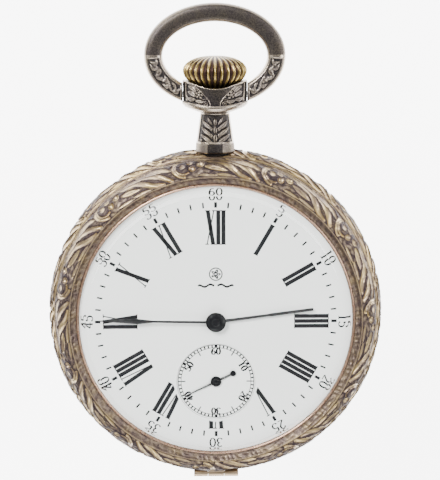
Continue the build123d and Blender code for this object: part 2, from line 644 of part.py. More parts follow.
# ---------------------------------------------------------------- going train
centre_phase = 0.0
barrel_phase = mesh_phase(CENTRE, centre_phase, CENTRE_LEAVES, BARREL, BARREL_TEETH)
third_leaf_phase = mesh_phase(CENTRE, centre_phase, CENTRE_TEETH, THIRD, THIRD_LEAVES)
fourth_leaf_phase = mesh_phase(THIRD, third_leaf_phase, THIRD_TEETH, FOURTH, FOURTH_LEAVES)
escape_leaf_phase = mesh_phase(FOURTH, fourth_leaf_phase, FOURTH_TEETH, ESCAPE, ESCAPE_LEAVES)
minute_wheel_phase = mesh_phase(CENTRE, centre_phase, CANNON_LEAVES, MINUTE_POST, MINUTE_TEETH)
hour_phase = mesh_phase(MINUTE_POST, minute_wheel_phase, MINUTE_LEAVES, CENTRE, HOUR_TEETH)


def barrel():
    """The toothed drum that holds the mainspring."""
    body = toothed(BARREL_TEETH, barrel_pitch, 5.4, 5.75, BARREL, barrel_phase, WHEEL_TOOTH)
    body += disc(8.15, 5.4, 6.7, BARREL)
    body -= disc(7.85, 5.65, 7, BARREL)
    return body - disc(1.05, 5, 6, BARREL)


def barrel_cover():
    """The lid pressed into the drum."""
    return ring(1.05, 7.83, 6.6, 6.85, BARREL)


def spiral(place, inner, outer, turns, width, low, high):
    """A flat spiral strip."""
    count = int(turns * 30)
    track = [(inner + (outer - inner) * k / count, 360 * turns * k / count) for k in range(count + 1)]
    near = [polar(r - width / 2, a, place) for r, a in track]
    far = [polar(r + width / 2, a, place) for r, a in reversed(track)]
    return prism(near + far, low, high)


def centre_wheel():
    """Centre arbor, wheel and pinion."""
    low, high = 7.1, 7.3
    body = toothed(CENTRE_TEETH, centre_pitch, low, high, CENTRE, centre_phase, WHEEL_TOOTH)
    body = spoked(body, CENTRE, 6.1, 1.5, low, high, arms=5)
    body += toothed(CENTRE_LEAVES, centre_leaf_pitch, 5.35, 7.15, CENTRE, centre_phase, LEAF_TOOTH)
    return body + arbor(CENTRE, 4.0, 12.3)


def third_wheel():
    """Third arbor, wheel and pinion."""
    low, high = 5.6, 5.8
    body = toothed(THIRD_TEETH, third_pitch, low, high, THIRD, third_leaf_phase, WHEEL_TOOTH)
    body = spoked(body, THIRD, 5.0, 1.2, low, high, arms=5, arm=0.45)
    body += toothed(THIRD_LEAVES, third_leaf_pitch, 5.75, 7.4, THIRD, third_leaf_phase, LEAF_TOOTH)
    return body + arbor(THIRD, 4.0, 8.7)


def fourth_wheel():
    """Fourth arbor, which carries the seconds hand, with its wheel and pinion."""
    low, high = 6.5, 6.7
    body = toothed(FOURTH_TEETH, fourth_pitch, low, high, FOURTH, fourth_leaf_phase, WHEEL_TOOTH)
    body = spoked(body, FOURTH, 4.3, 1.1, low, high, arms=5, arm=0.4)
    body += toothed(FOURTH_LEAVES, fourth_leaf_pitch, 5.4, 6.6, FOURTH, fourth_leaf_phase, LEAF_TOOTH)
    return body + arbor(FOURTH, 4.0, 11.45)


def escape_wheel():
    """Escape arbor, pinion and its raked wheel."""
    points = []
    step = 360 / ESCAPE_TEETH
    for k in range(ESCAPE_TEETH):
        start = k * step
        points += [polar(2.15, start, ESCAPE), polar(ESCAPE_R, start - 4, ESCAPE)]
        points += [polar(ESCAPE_R - 0.06, start + 2, ESCAPE), polar(2.2, start + 9, ESCAPE)]
    body = prism(points, 7.0, 7.2)
    body = spoked(body, ESCAPE, 1.85, 0.7, 7.0, 7.2, arms=4, arm=0.3)
    body += toothed(ESCAPE_LEAVES, escape_leaf_pitch, 6.3, 7.05, ESCAPE, escape_leaf_phase, LEAF_TOOTH)
    return body + arbor(ESCAPE, 4.0, 8.7, ESCAPE_ARBOR_R)


def pallet_fork():
    """The lever between the escape wheel and the balance."""
    low, high = 6.95, 7.22
    tip = distance(PALLET, BALANCE) - 1.02
    body = disc(0.55, low, high, PALLET)
    lever = [polar(0.35, PALLET_LINE + 90, PALLET), polar(0.35, PALLET_LINE - 90, PALLET)]
    lever += [polar(tip, PALLET_LINE - 5, PALLET), polar(tip - 0.4, PALLET_LINE, PALLET)]
    lever += [polar(tip, PALLET_LINE + 5, PALLET)]
    body += prism(lever, low, high)
    for place in STONE_PLACES:
        along = bearing(PALLET, place)
        reach = distance(PALLET, place)
        arm = [polar(0.3, along + 90, PALLET), polar(0.3, along - 90, PALLET)]
        arm += [polar(reach - 0.35, along - 12, PALLET), polar(reach - 0.35, along + 12, PALLET)]
        body += prism(arm, low, high) - disc(ESCAPE_R + 0.3, low, high, ESCAPE)
    return body + disc(PALLET_ARBOR_R, 6.5, 8.7, PALLET)


def pallet_stones():
    """The two ruby pallets."""
    stones = []
    for place in STONE_PLACES:
        stone = block((0.02, 0.36), (-0.15, 0.15), (0, 0.2))
        stones.append(at(place, 6.95) * Rot(0, 0, bearing(ESCAPE, place)) * stone)
    return stones


def balance_wheel():
    """Balance staff, arms, rim and rim screws."""
    inner, outer = BALANCE_RIM
    body = ring(inner, outer, 5.7, 6.25, BALANCE)
    body += at(BALANCE, 5.95) * Rot(0, 0, 20) * Box(2 * inner + 0.2, 0.6, 0.2)
    screw = Pos(outer + 0.05, 0, 0) * Rot(0, 90, 0) * Cylinder(0.22, 0.4)
    for k in range(BALANCE_SCREWS):
        turn = 20 + 360 * (k + 0.5) / BALANCE_SCREWS
        body += at(BALANCE, 5.97) * Rot(0, 0, turn) * screw
    body += disc(0.7, 5.6, 6.2, BALANCE)
    return body + disc(STAFF_R, 4.0, 8.7, BALANCE)


def roller():
    """The roller table with its impulse pin."""
    table = ring(STAFF_R, 0.95, 6.5, 6.7, BALANCE)
    return table + disc(0.12, 6.65, 7.25, polar(0.75, bearing(BALANCE, PALLET), BALANCE))


def regulator():
    """The index that sets the rate."""
    body = ring(1.25, 1.85, 3.55, 3.88, BALANCE)
    return body + at(BALANCE, 3.6) * Rot(0, 0, 62) * block((1.6, 6.2), (-0.3, 0.3), (0, 0.25))


# ---------------------------------------------------------------- dial and hands
def dial():
    """The enamel dial, open for the seconds dial and the hands."""
    body = disc(DIAL_R, PLATE_TOP, DIAL_Z)
    return body - disc(1.0, 10, 12) - disc(6.25, 10, 12, FOURTH)


def seconds_dial():
    """The sunk seconds dial."""
    return ring(0.5, 6.22, 10.55, 11.2, FOURTH)


def hand_blade(angle, outline, low, high):
    """A hand from its half outline of (distance, half width), turned clockwise from 12."""
    points = [(w, d) for d, w in outline] + [(-w, d) for d, w in reversed(outline)]
    return Rot(0, 0, -angle) * prism(points, low, high)


def hour_hand():
    """The hour hand, pressed on the hour wheel's pipe."""
    outline = [(0.3, 0.17), (8.6, 0.14), (9.0, 0.18), (15.4, 0.15)]
    body = hand_blade(HOUR_ANGLE, outline, *HOUR_HAND_Z) + disc(1.35, *HOUR_HAND_Z)
    return body - disc(0.76, 11, 13)


def minute_hand():
    """The minute hand with its wide domed boss."""
    outline = [(0.3, 0.16), (9.8, 0.14), (12.3, 0.36), (15.5, 0.2), (18.9, 0.03)]
    body = hand_blade(MINUTE_ANGLE, outline, *MINUTE_HAND_Z)
    body += profile([(0, 12.3), (1.56, 12.3), (1.5, 12.55), (0.9, 12.74), (0, 12.8)])
    return body - disc(0.46, 11, 12.62)


def seconds_hand():
    """The seconds hand with its counterpoise."""
    outline = [(-3.0, 0.12), (0.0, 0.16), (5.4, 0.06)]
    low, high = SECONDS_HAND_Z
    body = hand_blade(SECONDS_ANGLE, outline, low, high) + disc(0.86, low, high + 0.1)
    body += disc(0.5, low, high, polar(3.0, 90 - SECONDS_ANGLE + 180))
    return at(FOURTH) * (body - disc(ARBOR_R, 11, 11.46))


# ---------------------------------------------------------------- motion work
def cannon_pinion():
    """The friction-tight pinion that carries the minute hand."""
    body = toothed(CANNON_LEAVES, cannon_pitch, 9.72, 10.3, CENTRE, centre_phase, LEAF_TOOTH)
    return body + disc(0.45, 10.2, 12.6) - disc(ARBOR_R + 0.01, 9, 12.32)


def hour_wheel():
    """The hour wheel and its pipe, free on the cannon pinion."""
    body = toothed(HOUR_TEETH, hour_pitch, 10.4, 10.62, CENTRE, hour_phase, WHEEL_TOOTH)
    return body + disc(0.75, 10.4, 12.14) - disc(0.49, 9, 13)


def minute_wheel():
    """The minute wheel and pinion on their post."""
    post, phase = MINUTE_POST, minute_wheel_phase
    body = toothed(MINUTE_TEETH, minute_pitch, 9.8, 10.02, post, phase, WHEEL_TOOTH)
    body += toothed(MINUTE_LEAVES, minute_leaf_pitch, 10.0, 10.7, post, phase, LEAF_TOOTH)
    return body - disc(0.34, 9, 12, post)


# ---------------------------------------------------------------- screws
def crown_wheel_screw():
    """The screw and shouldered core on which the crown wheel turns."""
    head = slotted_screw(CROWN_WHEEL, 2.1, (2.95, 3.27), 0.5, 5.0, 20)
    return head + disc(1.5, 3.2, WINDING_Z[1], CROWN_WHEEL)


def bridge_screws():
    """The screws of the two bridges and the balance cock."""
    places = BARREL_SCREWS + TRAIN_SCREWS + [COCK_FOOT]
    return [slotted_screw(p, 0.9, (3.6, 4.28), 0.42, 8.6, 25 * k) for k, p in enumerate(places)]


def case_screws():
    """The two screws that hold the movement in the case."""
    return [slotted_screw(p, 1.35, (6.85, 7.33), 0.4, 8.6, 40 * k) for k, p in enumerate(CASE_SCREWS)]


# ---------------------------------------------------------------- every node
NODES = {
    "crystal": crystal(),
    "bezel": bezel(),
    "bezel_hinge_pin": rod_x(HINGE_PIN_R, -HINGE_HALF, HINGE_HALF, HINGE_Y, FRONT_HINGE_Z),
    "case_middle": case_middle(),
    "back_cover": back_cover(),
    "back_hinge_pin": rod_x(HINGE_PIN_R, -HINGE_HALF, HINGE_HALF, HINGE_Y, BACK_HINGE_Z),
    "cuvette": cuvette(),
    "cuvette_hinge_pin": rod_x(CUVETTE_PIN_R, -CUVETTE_HALF, CUVETTE_HALF, *CUVETTE_HINGE),
    "pendant_neck": pendant_neck(),
    "crown_cup": crown_cup(),
    "bow": bow(),
    "bow_pivots": bow_pivots(),
    "crown": crown(),
    "winding_stem": winding_stem(),
    "pendant_sleeve": pendant_sleeve(),
    "winding_pinion": winding_pinion(),
    "sliding_pinion": sliding_pinion(),
    "crown_wheel": crown_wheel(),
    "crown_wheel_screw": crown_wheel_screw(),
    "ratchet_wheel": ratchet_wheel(),
    "ratchet_screw": slotted_screw(BARREL, 1.2, (2.95, 3.28), 0.34, 4.5, -35),
    "click": click(),
    "click_screw": slotted_screw(CLICK_PIVOT, 0.85, (3.0, 3.3), 0.4, 4.9, 10),
    "click_spring": click_spring(),
    "setting_lever": setting_lever(),
    "barrel_bridge": barrel_bridge(),
    "train_bridge": train_bridge(),
    "balance_cock": balance_cock(),
    "pallet_cock": pallet_cock(),
    "main_plate": main_plate(),
    "barrel": barrel(),
    "barrel_cover": barrel_cover(),
    "mainspring": spiral(BARREL, 1.95, 7.6, 11, 0.16, 5.8, 6.5),
    "barrel_arbor": barrel_arbor(),
    "centre_wheel": centre_wheel(),
    "third_wheel": third_wheel(),
    "fourth_wheel": fourth_wheel(),
    "escape_wheel": escape_wheel(),
    "pallet_fork": pallet_fork(),
    "pallet_stones": pallet_stones(),
    "balance_wheel": balance_wheel(),
    "roller": roller(),
    "hairspring": spiral(BALANCE, 0.5, 2.9, 11, 0.06, 5.15, 5.4),
    "regulator": regulator(),
    "endstone": disc(0.9, 3.6, 3.88, BALANCE),
    "dial": dial(),
    "seconds_dial": seconds_dial(),
    "dial_feet": [disc(0.4, 9.1, PLATE_TOP, place) for place in DIAL_FEET],
    "hour_hand": hour_hand(),
    "minute_hand": minute_hand(),
    "seconds_hand": seconds_hand(),
    "cannon_pinion": cannon_pinion(),
    "hour_wheel": hour_wheel(),
    "minute_wheel": minute_wheel(),
    "bridge_jewels": jewels(TRAIN_PIVOTS, 4.3, BRIDGE_Z[1]),
    "plate_jewels": jewels(TRAIN_PIVOTS + LEVER_PIVOTS, 7.6, 8.6),
    "balance_jewel": jewels(LEVER_PIVOTS[1:], 4.2, 5.0),
    "bridge_screws": bridge_screws(),
    "case_screws": case_screws(),
}

os.makedirs("parts", exist_ok=True)
for name, shape in NODES.items():
    solids = shape if isinstance(shape, list) else shape.solids()
    export_step(Compound(children=[s for part in solids for s in part.solids()]), f"parts/{name}.step")
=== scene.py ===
"""Looks of the open face pocket watch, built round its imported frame.

Lengths in this script are in millimetres in the frame's axes: +X to 3 o'clock, +Y to the
pendant and +Z out of the dial. They become metres when a mesh is made.
"""
from math import acos, cos, pi, radians, sin

import bpy
import numpy as np
from mathutils import Matrix, Vector


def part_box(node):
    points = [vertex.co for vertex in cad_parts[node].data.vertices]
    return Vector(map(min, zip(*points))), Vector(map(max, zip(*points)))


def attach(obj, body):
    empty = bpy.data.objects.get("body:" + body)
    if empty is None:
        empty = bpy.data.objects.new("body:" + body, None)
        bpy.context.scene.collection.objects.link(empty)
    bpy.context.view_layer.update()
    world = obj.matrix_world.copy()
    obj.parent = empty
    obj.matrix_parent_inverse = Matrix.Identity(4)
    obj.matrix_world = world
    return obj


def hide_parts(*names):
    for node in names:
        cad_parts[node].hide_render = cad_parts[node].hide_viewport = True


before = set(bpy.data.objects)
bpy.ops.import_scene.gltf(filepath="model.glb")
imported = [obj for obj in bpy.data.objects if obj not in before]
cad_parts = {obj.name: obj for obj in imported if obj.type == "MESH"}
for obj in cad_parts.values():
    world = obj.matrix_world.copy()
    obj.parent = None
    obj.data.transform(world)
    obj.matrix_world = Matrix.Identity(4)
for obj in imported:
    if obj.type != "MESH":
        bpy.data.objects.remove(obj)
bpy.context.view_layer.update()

MM = 0.001
rng = np.random.default_rng(7)


def size_of(node):
    """Lowest and highest corner of a CAD node in millimetres."""
    return [[v / MM for v in corner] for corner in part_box(node)]


def middle_of(node, axis):
    """Middle of a CAD node along one axis."""
    low, high = size_of(node)
    return (low[axis] + high[axis]) / 2


# ---- places and sizes
DIAL_Z = size_of("dial")[1][2]
SECONDS_DIAL_Z = size_of("seconds_dial")[1][2]
SECONDS_Y = middle_of("seconds_dial", 1)
STEM_Z = middle_of("pendant_sleeve", 2)
SEAM_FRONT_Z = size_of("bezel_hinge_pin")[0][2] + 0.25
SEAM_BACK_Z = size_of("back_hinge_pin")[0][2] + 0.25
HINGE_Y = middle_of("bezel_hinge_pin", 1)
SEAM_R = 25.5
CASE_R = 26.5
BEZEL_TOP_R, BEZEL_TOP_Z = 22.97, 12.98  # where the hollow ends and the embossed band begins
BEAD_R, BEAD_Z = 22.88, 13.02
CROWN_LOW, CROWN_TOP = size_of("crown")[0][1], size_of("crown")[1][1]
CROWN_R = size_of("crown")[1][0]
FLUTES = 28
CUP_LOW, CUP_TOP = 32.9, 37.35
NECK_LOW, NECK_BAND, NECK_TOP = 26.15, 27.75, 32.95  # the shaft begins at the band
NECK_R, NECK_TAPER = 2.90, 0.62  # the shaft's radius at the band and what it loses to the top
COLLAR = 0.75  # the collar's height under the neck's top
BORE_R = 0.93  # the stem's bore through cup and neck
BOW_A, BOW_B, BOW_Y = 9.5, 6.6, 41.0  # half axes and centre of the bow's middle line
BOW_END_X = 5.06  # the bow's ends stand just off the cup's sides
MOTIFS = 11  # repeats of the ornament round the case
BEADS = 330  # beads in the line round the hollow
BEZEL_COLUMNS, BAND_COLUMNS, BACK_COLUMNS = 1232, 1320, 1122
BEZEL_PATTERN = (24.4, 0.93)  # radius that the pattern is measured at, and its scale
BAND_PATTERN = (CASE_R, 1.05)
BACK_PATTERN = (21.5, 1.45)
CUP_COLUMNS, NECK_COLUMNS, LIP_COLUMNS = 640, 480, 360
BOW_STATIONS, BOW_COLUMNS = 420, 72
MOTIF_START = radians(-7.6)  # clockwise angle of one berry cluster of the bezel
BAND_START = 0.31  # the same on the band, in radians


# ---- meshes
def build(name, vertices, faces, smooth=True, relief=None):
    """A mesh object from millimetre vertices and an array of quads or a list of faces."""
    mesh = bpy.data.meshes.new(name)
    vertices = np.asarray(vertices, dtype=float) * MM
    mesh.from_pydata(vertices.tolist(), [], [list(map(int, f)) for f in faces])
    mesh.update()
    if smooth:
        mesh.polygons.foreach_set("use_smooth", np.ones(len(mesh.polygons), dtype=bool))
    if relief is not None:
        layer = mesh.attributes.new("relief", "FLOAT", "POINT")
        layer.data.foreach_set("value", np.asarray(relief, dtype=np.float32).ravel())
    obj = bpy.data.objects.new(name, mesh)
    bpy.context.scene.collection.objects.link(obj)
    return obj


def grid_faces(rows, columns, wrap_rows=True, wrap_columns=True):
    """Quads of a grid of vertices, closed along either direction."""
    r = np.arange(rows if wrap_rows else rows - 1)
    c = np.arange(columns if wrap_columns else columns - 1)
    r, c = np.meshgrid(r, c, indexing="ij")
    r2, c2 = (r + 1) % rows, (c + 1) % columns
    corners = [r * columns + c, r2 * columns + c, r2 * columns + c2, r * columns + c2]
    return np.stack(corners, -1).reshape(-1, 4)


def normals_of(points, wrap_rows, wrap_columns):
    """Unit normals of a grid of points."""
    def slope(axis, wrap):
        if wrap:
            return np.roll(points, -1, axis) - np.roll(points, 1, axis)
        return np.gradient(points, axis=axis)

    n = np.cross(slope(0, wrap_rows), slope(1, wrap_columns))
    return n / np.maximum(np.linalg.norm(n, axis=-1, keepdims=True), 1e-9)


def torus_grid(name, points, height=None, relief=None, wrap_rows=True):
    """A closed grid of points, moved out along its normals by height."""
    if height is not None:
        points = points + normals_of(points, wrap_rows, True) * height[..., None]
    rows, columns = points.shape[:2]
    return build(name, points.reshape(-1, 3), grid_faces(rows, columns, wrap_rows), relief=relief)


def capped(rows):
    """Vertices and faces of a solid through matching closed sections, closed at both ends."""
    count, sides = np.shape(rows)[:2]
    faces = [list(f)[::-1] for f in grid_faces(count, sides, False)]
    faces.append(list(range(sides))[::-1])
    faces.append([(count - 1) * sides + k for k in range(sides)])
    return np.reshape(rows, (-1, 3)), faces


def merged(name, parts, smooth=False):
    """One mesh from several (vertices, faces) pairs."""
    vertices, faces, base = [], [], 0
    for v, f in parts:
        vertices.append(np.asarray(v, dtype=float))
        faces += [[base + int(i) for i in face] for face in f]
        base += len(v)
    return build(name, np.vstack(vertices), faces, smooth)


def along(points, count):
    """A polyline resampled at even steps."""
    points = np.asarray(points, dtype=float)
    steps = distances(points)
    at = np.linspace(0, steps[-1], count)
    return np.stack([np.interp(at, steps, points[:, k]) for k in range(points.shape[1])], -1)


def smooth_line(points, count):
    """A smooth line through a few points, by cubic spans."""
    p = np.asarray(points, dtype=float)
    p = np.vstack([2 * p[0] - p[1], p, 2 * p[-1] - p[-2]])
    out = []
    for a, b, c, d in zip(p, p[1:], p[2:], p[3:]):
        t = np.linspace(0, 1, 24, endpoint=False)[:, None]
        bend, twist = 2 * a - 5 * b + 4 * c - d, 3 * b - a - 3 * c + d
        out.append(0.5 * (2 * b + (c - a) * t + bend * t**2 + twist * t**3))
    return along(np.vstack(out + [p[-2:-1]]), count)


def arc_points(cx, cy, rx, ry, start, stop, count=22):
    """Points of an ellipse between two angles in degrees."""
    a = np.radians(np.linspace(start, stop, count))
    return np.stack([cx + rx * np.cos(a), cy + ry * np.sin(a)], -1)


# ---- ornament as height fields
def unit(value):
    """A value kept between 0 and 1."""
    return np.clip(value, 0, 1)


def bell(value, middle, spread):
    """A bell curve of height 1."""
    return np.exp(-(((value - middle) / spread) ** 2))


def edge_fade(v, width, run):
    """0 outside a band, rising to 1 over a run inside each of its edges."""
    return unit(np.minimum(v, width - v) / run)


def distances(profile):
    """How far along a profile each of its points is."""
    return np.r_[0, np.cumsum(np.linalg.norm(np.diff(profile, axis=0), axis=1))]


def dome(x, y, cx, cy, radius, height):
    """A berry."""
    return height * np.sqrt(unit(1 - ((x - cx) ** 2 + (y - cy) ** 2) / radius**2))


def loop(x, y, cx, cy, radius, width, height, start=None, stop=None):
    """A raised ring, or the part of it between two angles in degrees."""
    d = np.abs(np.hypot(x - cx, y - cy) - radius) / width
    out = height * np.sqrt(unit(1 - d * d))
    if start is not None:
        angle = np.degrees(np.arctan2(y - cy, x - cx))
        out = out * (((angle - start) % 360) < (stop - start))
    return out


def nearest(x, y, line):
    """Distance to a polyline, and how far along it the nearest point is, from 0 to 1."""
    best = np.full(x.shape, 1e9)
    where = np.zeros(x.shape)
    count = len(line) - 1
    for k, (a, b) in enumerate(zip(line, line[1:])):
        d = b - a
        t = unit(((x - a[0]) * d[0] + (y - a[1]) * d[1]) / max(d @ d, 1e-12))
        gap = np.hypot(x - a[0] - t * d[0], y - a[1] - t * d[1])
        closer = gap < best
        best = np.where(closer, gap, best)
        where = np.where(closer, (k + t) / count, where)
    return best, where


def rib(x, y, points, width, height, taper=0.35):
    """A rounded rib along a smooth line, thinner towards both ends."""
    gap, where = nearest(x, y, smooth_line(points, 26))
    w = width * (taper + (1 - taper) * np.sin(pi * np.clip(where, 0.02, 0.98)) ** 0.7)
    share = gap / w
    flute = 0.16 * bell(share, 0.48, 0.13) * (width > 0.35)
    return height * np.sqrt(unit(1 - share**2)) * (1 - flute)


def leaf(x, y, points, width, height, vein=0.35):
    """A pointed leaf with a grooved middle."""
    gap, where = nearest(x, y, smooth_line(points, 18))
    w = width * np.sin(pi * np.clip(where, 0.0, 1.0) ** 0.8) + 1e-4
    body = height * np.sqrt(unit(1 - (gap / w) ** 2))
    return body * (1 - vein * bell(gap, 0, 0.16 * width))


def stack(*fields):
    """The highest of several height fields."""
    out = fields[0]
    for field in fields[1:]:
        out = np.maximum(out, field)
    return out


def softened(field, across, lengthwise):
    """A height field blurred by a few columns and rows; columns wrap round."""
    out = field
    count = out.shape[1]
    for _ in range(2):
        out = sum(np.roll(out, k, axis=0) for k in range(-across, across + 1)) / (2 * across + 1)
        padded = np.pad(out, ((0, 0), (lengthwise, lengthwise)), mode="edge")
        out = sum(padded[:, k:k + count] for k in range(2 * lengthwise + 1)) / (2 * lengthwise + 1)
    return out


def patina(field, across, lengthwise, level=0.27, hollow=3.2, rise=0.62):
    """Wear and painted cavity shade from 0 to 1: painted shade in the creases beside raised parts, painted
    light where a part stands above its surroundings, and crests bright with wear.
    """
    # painted cavity shade: darker below the blurred surface, by the weight hollow, and lighter above it
    crease_shade = field - softened(field, across, lengthwise)
    crease_shade = np.where(crease_shade < 0, crease_shade * 1.5, crease_shade)
    return unit(level + hollow * crease_shade + rise * field)


# ---- ring surfaces
def round_angles(count):
    """Even angles round a circle."""
    return np.linspace(0, 2 * pi, count, endpoint=False)


def turned_points(profile, angles):
    """Points of a profile of (r, z), turned about Z. Angles run clockwise from 12."""
    r, z = np.transpose(profile)
    a = angles[:, None]
    return np.stack(np.broadcast_arrays(r * np.sin(a), r * np.cos(a), z), -1)


def motif_field(u, v, pitch, width):
    """One repeat of the case ornament. u is mm clockwise from the berries, v mm from the inner edge."""
    mid = width * 0.5
    total = np.zeros(u.shape)
    for shift in (-pitch, 0.0, pitch):
        x = u - shift
        total = stack(
            total,
            rib(x, v, [(-5.6, width), (-3.4, mid + 1.62), (-0.6, mid + 1.72), (2.2, mid + 1.22),
                       (4.8, mid + 0.30), (7.4, 0.75), (9.4, 0.12)], 0.66, 0.50, 0.4),
            rib(x, v, [(-1.9, width * 1.02), (1.6, width * 0.94), (4.6, mid + 1.42),
                       (7.0, mid + 0.52), (9.0, mid - 0.72), (10.9, 0.25)], 0.68, 0.46, 0.4),
            leaf(x, v, [(4.9, width * 0.97), (7.4, mid + 1.55), (9.6, mid + 0.60), (11.3, mid - 0.55)],
                 0.98, 0.46, 0.2),
            leaf(x, v, [(8.6, width), (10.2, width * 0.90), (12.0, width * 0.80)], 0.45, 0.36, 0.2),
            dome(x, v, -0.75, mid + 0.72, 0.60, 0.60),
            dome(x, v, 1.02, mid - 0.02, 0.66, 0.66),
            dome(x, v, -0.42, mid - 0.78, 0.60, 0.60),
            dome(x, v, -1.95, mid - 0.05, 0.50, 0.22),
            loop(x, v, -1.72, mid - 0.1, 1.50, 0.16, 0.36, 70, 300),
            loop(x, v, -1.60, mid - 0.1, 2.02, 0.26, 0.42, 95, 268),
            leaf(x, v, [(1.7, mid - 0.55), (3.2, mid - 0.85), (5.6, mid - 1.45)], 0.58, 0.42),
            leaf(x, v, [(2.0, mid + 0.50), (3.4, mid + 0.12), (4.9, mid - 0.62)], 0.34, 0.36),
            leaf(x, v, [(0.4, 0.42), (2.2, 0.28), (4.0, 0.22)], 0.26, 0.26),
            leaf(x, v, [(3.6, 0.42), (5.4, 0.30), (7.4, 0.16)], 0.28, 0.28),
            loop(x, v, 6.4, width * 0.93, 0.34, 0.12, 0.52),
        )
        vein = unit(np.cos((x * 0.8 + v * 1.6) * 2 * pi / 0.55)) ** 2
        near_seam = unit((v - width * 0.80) / 0.3)
        total = total - 0.07 * vein * near_seam * (total > 0.15)
    return total


def ornament(columns, rows_v, width, pattern, start=MOTIF_START):
    """The ornament's heights, and its wear with painted cavity shade, on columns round a ring by distances
    across its band.
    """
    radius, scale = pattern
    per = columns // MOTIFS
    pitch = 2 * pi * radius / MOTIFS / scale
    u = (np.arange(per) / per) * pitch
    u = np.where(u > pitch / 2, u - pitch, u)
    x, y = np.meshgrid(u, rows_v / scale, indexing="ij")
    field = motif_field(x, y, pitch, width / scale) * scale
    swirl = np.cos(x * 10 * pi / pitch + 2.2 * np.sin(y * 2.4))
    swirl = swirl * np.cos(y * 5.1 + 1.4 * np.cos(x * 14 * pi / pitch))
    field = field + 0.045 * swirl * (field < 0.12) + 0.02 * swirl
    field = np.tile(field, (MOTIFS, 1))
    # tone of the ornament: wear with painted cavity shade
    relief = patina(field, 3, 4)
    field = field - 0.05 * rng.random(field.shape) * (field < 0.1 * scale)
    turn = int(round(start / (2 * pi) * columns))
    return np.roll(field, turn, axis=0), np.roll(relief, turn, axis=0)


def turned_shell(name, outer, inner, height, relief, inner_tone):
    """A closed ring through an outer profile with relief and a plain inner one."""
    columns = len(height)
    pad = np.zeros((columns, len(inner)))
    points = turned_points(np.vstack([outer, inner]), round_angles(columns))
    return torus_grid(name, points, np.hstack([height, pad]), np.hstack([relief, pad + inner_tone]))


def dense(points, step):
    """A profile resampled at about the given step."""
    return along(points, max(3, int(distances(np.asarray(points, dtype=float))[-1] / step)))


# ---- materials
EVEN = (1000, 1000, 1000)  # metres to millimetres
ENAMEL = (0.90, 0.893, 0.882)


def connect(tree, target, inputs):
    """Sets a node's inputs, or links them where the value is another node's output."""
    for key, value in dict(inputs).items():
        if isinstance(value, bpy.types.NodeSocket):
            tree.links.new(value, target.inputs[key])
        else:
            target.inputs[key].default_value = value


def shader(name):
    """A new material, its node tree and its principled shader."""
    mat = bpy.data.materials.new(name)
    mat.use_nodes = True
    return mat, mat.node_tree, mat.node_tree.nodes["Principled BSDF"]


def node(tree, kind, inputs=(), **settings):
    """A node with its settings made, and its inputs set or linked."""
    made = tree.nodes.new(kind)
    for key, value in settings.items():
        setattr(made, key, value)
    connect(tree, made, inputs)
    return made


def shade(colour, share):
    """A colour made darker or lighter."""
    return tuple(min(1.0, c * share) for c in colour)


def mapped(tree, scale=EVEN):
    """Object coordinates in millimetres."""
    inputs = {"Vector": node(tree, "ShaderNodeTexCoord").outputs["Object"], "Scale": scale}
    return node(tree, "ShaderNodeMapping", inputs).outputs["Vector"]


def noise(tree, vector, scale, detail=3.0, rough=0.55):
    """Noise of a given scale per millimetre."""
    inputs = {"Vector": vector, "Scale": scale, "Detail": detail, "Roughness": rough}
    return node(tree, "ShaderNodeTexNoise", inputs).outputs["Fac"]


def ramp(tree, value, stops):
    """A colour ramp over a value. stops are (place, colour)."""
    made = node(tree, "ShaderNodeValToRGB", {"Fac": value})
    elements = made.color_ramp.elements
    while len(elements) < len(stops):
        elements.new(0.5)
    for element, (place, colour) in zip(elements, stops):
        element.position = place
        element.color = (*colour, 1.0)
    return made.outputs["Color"]


def blend(tree, fac, a, b, mode="MIX"):
    """Two colours mixed."""
    return node(tree, "ShaderNodeMix", {0: fac, 6: a, 7: b}, data_type="RGBA", blend_type=mode).outputs[2]


def span(tree, value, low, high, to_low, to_high):
    """A value mapped from one range to another."""
    inputs = {"Value": value, 1: low, 2: high, 3: to_low, 4: to_high}
    return node(tree, "ShaderNodeMapRange", inputs).outputs["Result"]


def bump(tree, bsdf, height, distance_mm, strength=1.0):
    """Fine surface texture."""
    inputs = {"Height": height, "Distance": distance_mm * MM, "Strength": strength}
    connect(tree, bsdf, {"Normal": node(tree, "ShaderNodeBump", inputs).outputs["Normal"]})


def either(tree, a, b):
    """The larger of two values."""
    return node(tree, "ShaderNodeMath", {0: a, 1: b}, operation="MAXIMUM").outputs[0]


def relief_metal(name, ground, middle, crest, rough, metallic, mottle):
    """Antiqued metal coloured from the relief attribute: oxide and painted shade in its recesses, its raised
    parts bright with wear, and painted facet shades and reflections where the attribute carries them.
    """
    mat, tree, bsdf = shader(name)
    place = mapped(tree)
    relief = node(tree, "ShaderNodeAttribute", attribute_name="relief").outputs["Fac"]
    patches = noise(tree, place, 0.55, 4)
    fine = noise(tree, place, 7.0, 5, 0.65)
    uneven = span(tree, fine, 0.3, 0.7, -0.2, 0.2)
    # the relief attribute's wear and painted shade, made uneven by fine noise
    wear_and_shade = node(tree, "ShaderNodeMath", {0: relief, 1: uneven}, operation="ADD").outputs[0]
    colour = ramp(tree, wear_and_shade, [(0.0, ground), (0.35, middle), (0.8, crest)])
    tints = [(0.36, (0.66, 0.60, 0.68)), (0.5, (0.95, 0.90, 0.86)), (0.66, (1.16, 1.08, 0.82))]
    connect(tree, bsdf, {
        "Base Color": blend(tree, mottle, colour, ramp(tree, patches, tints), "MULTIPLY"),
        "Roughness": span(tree, wear_and_shade, 0.0, 0.8, *rough),
        "Metallic": metallic,
    })
    bump(tree, bsdf, fine, 0.03, 0.5)
    return mat


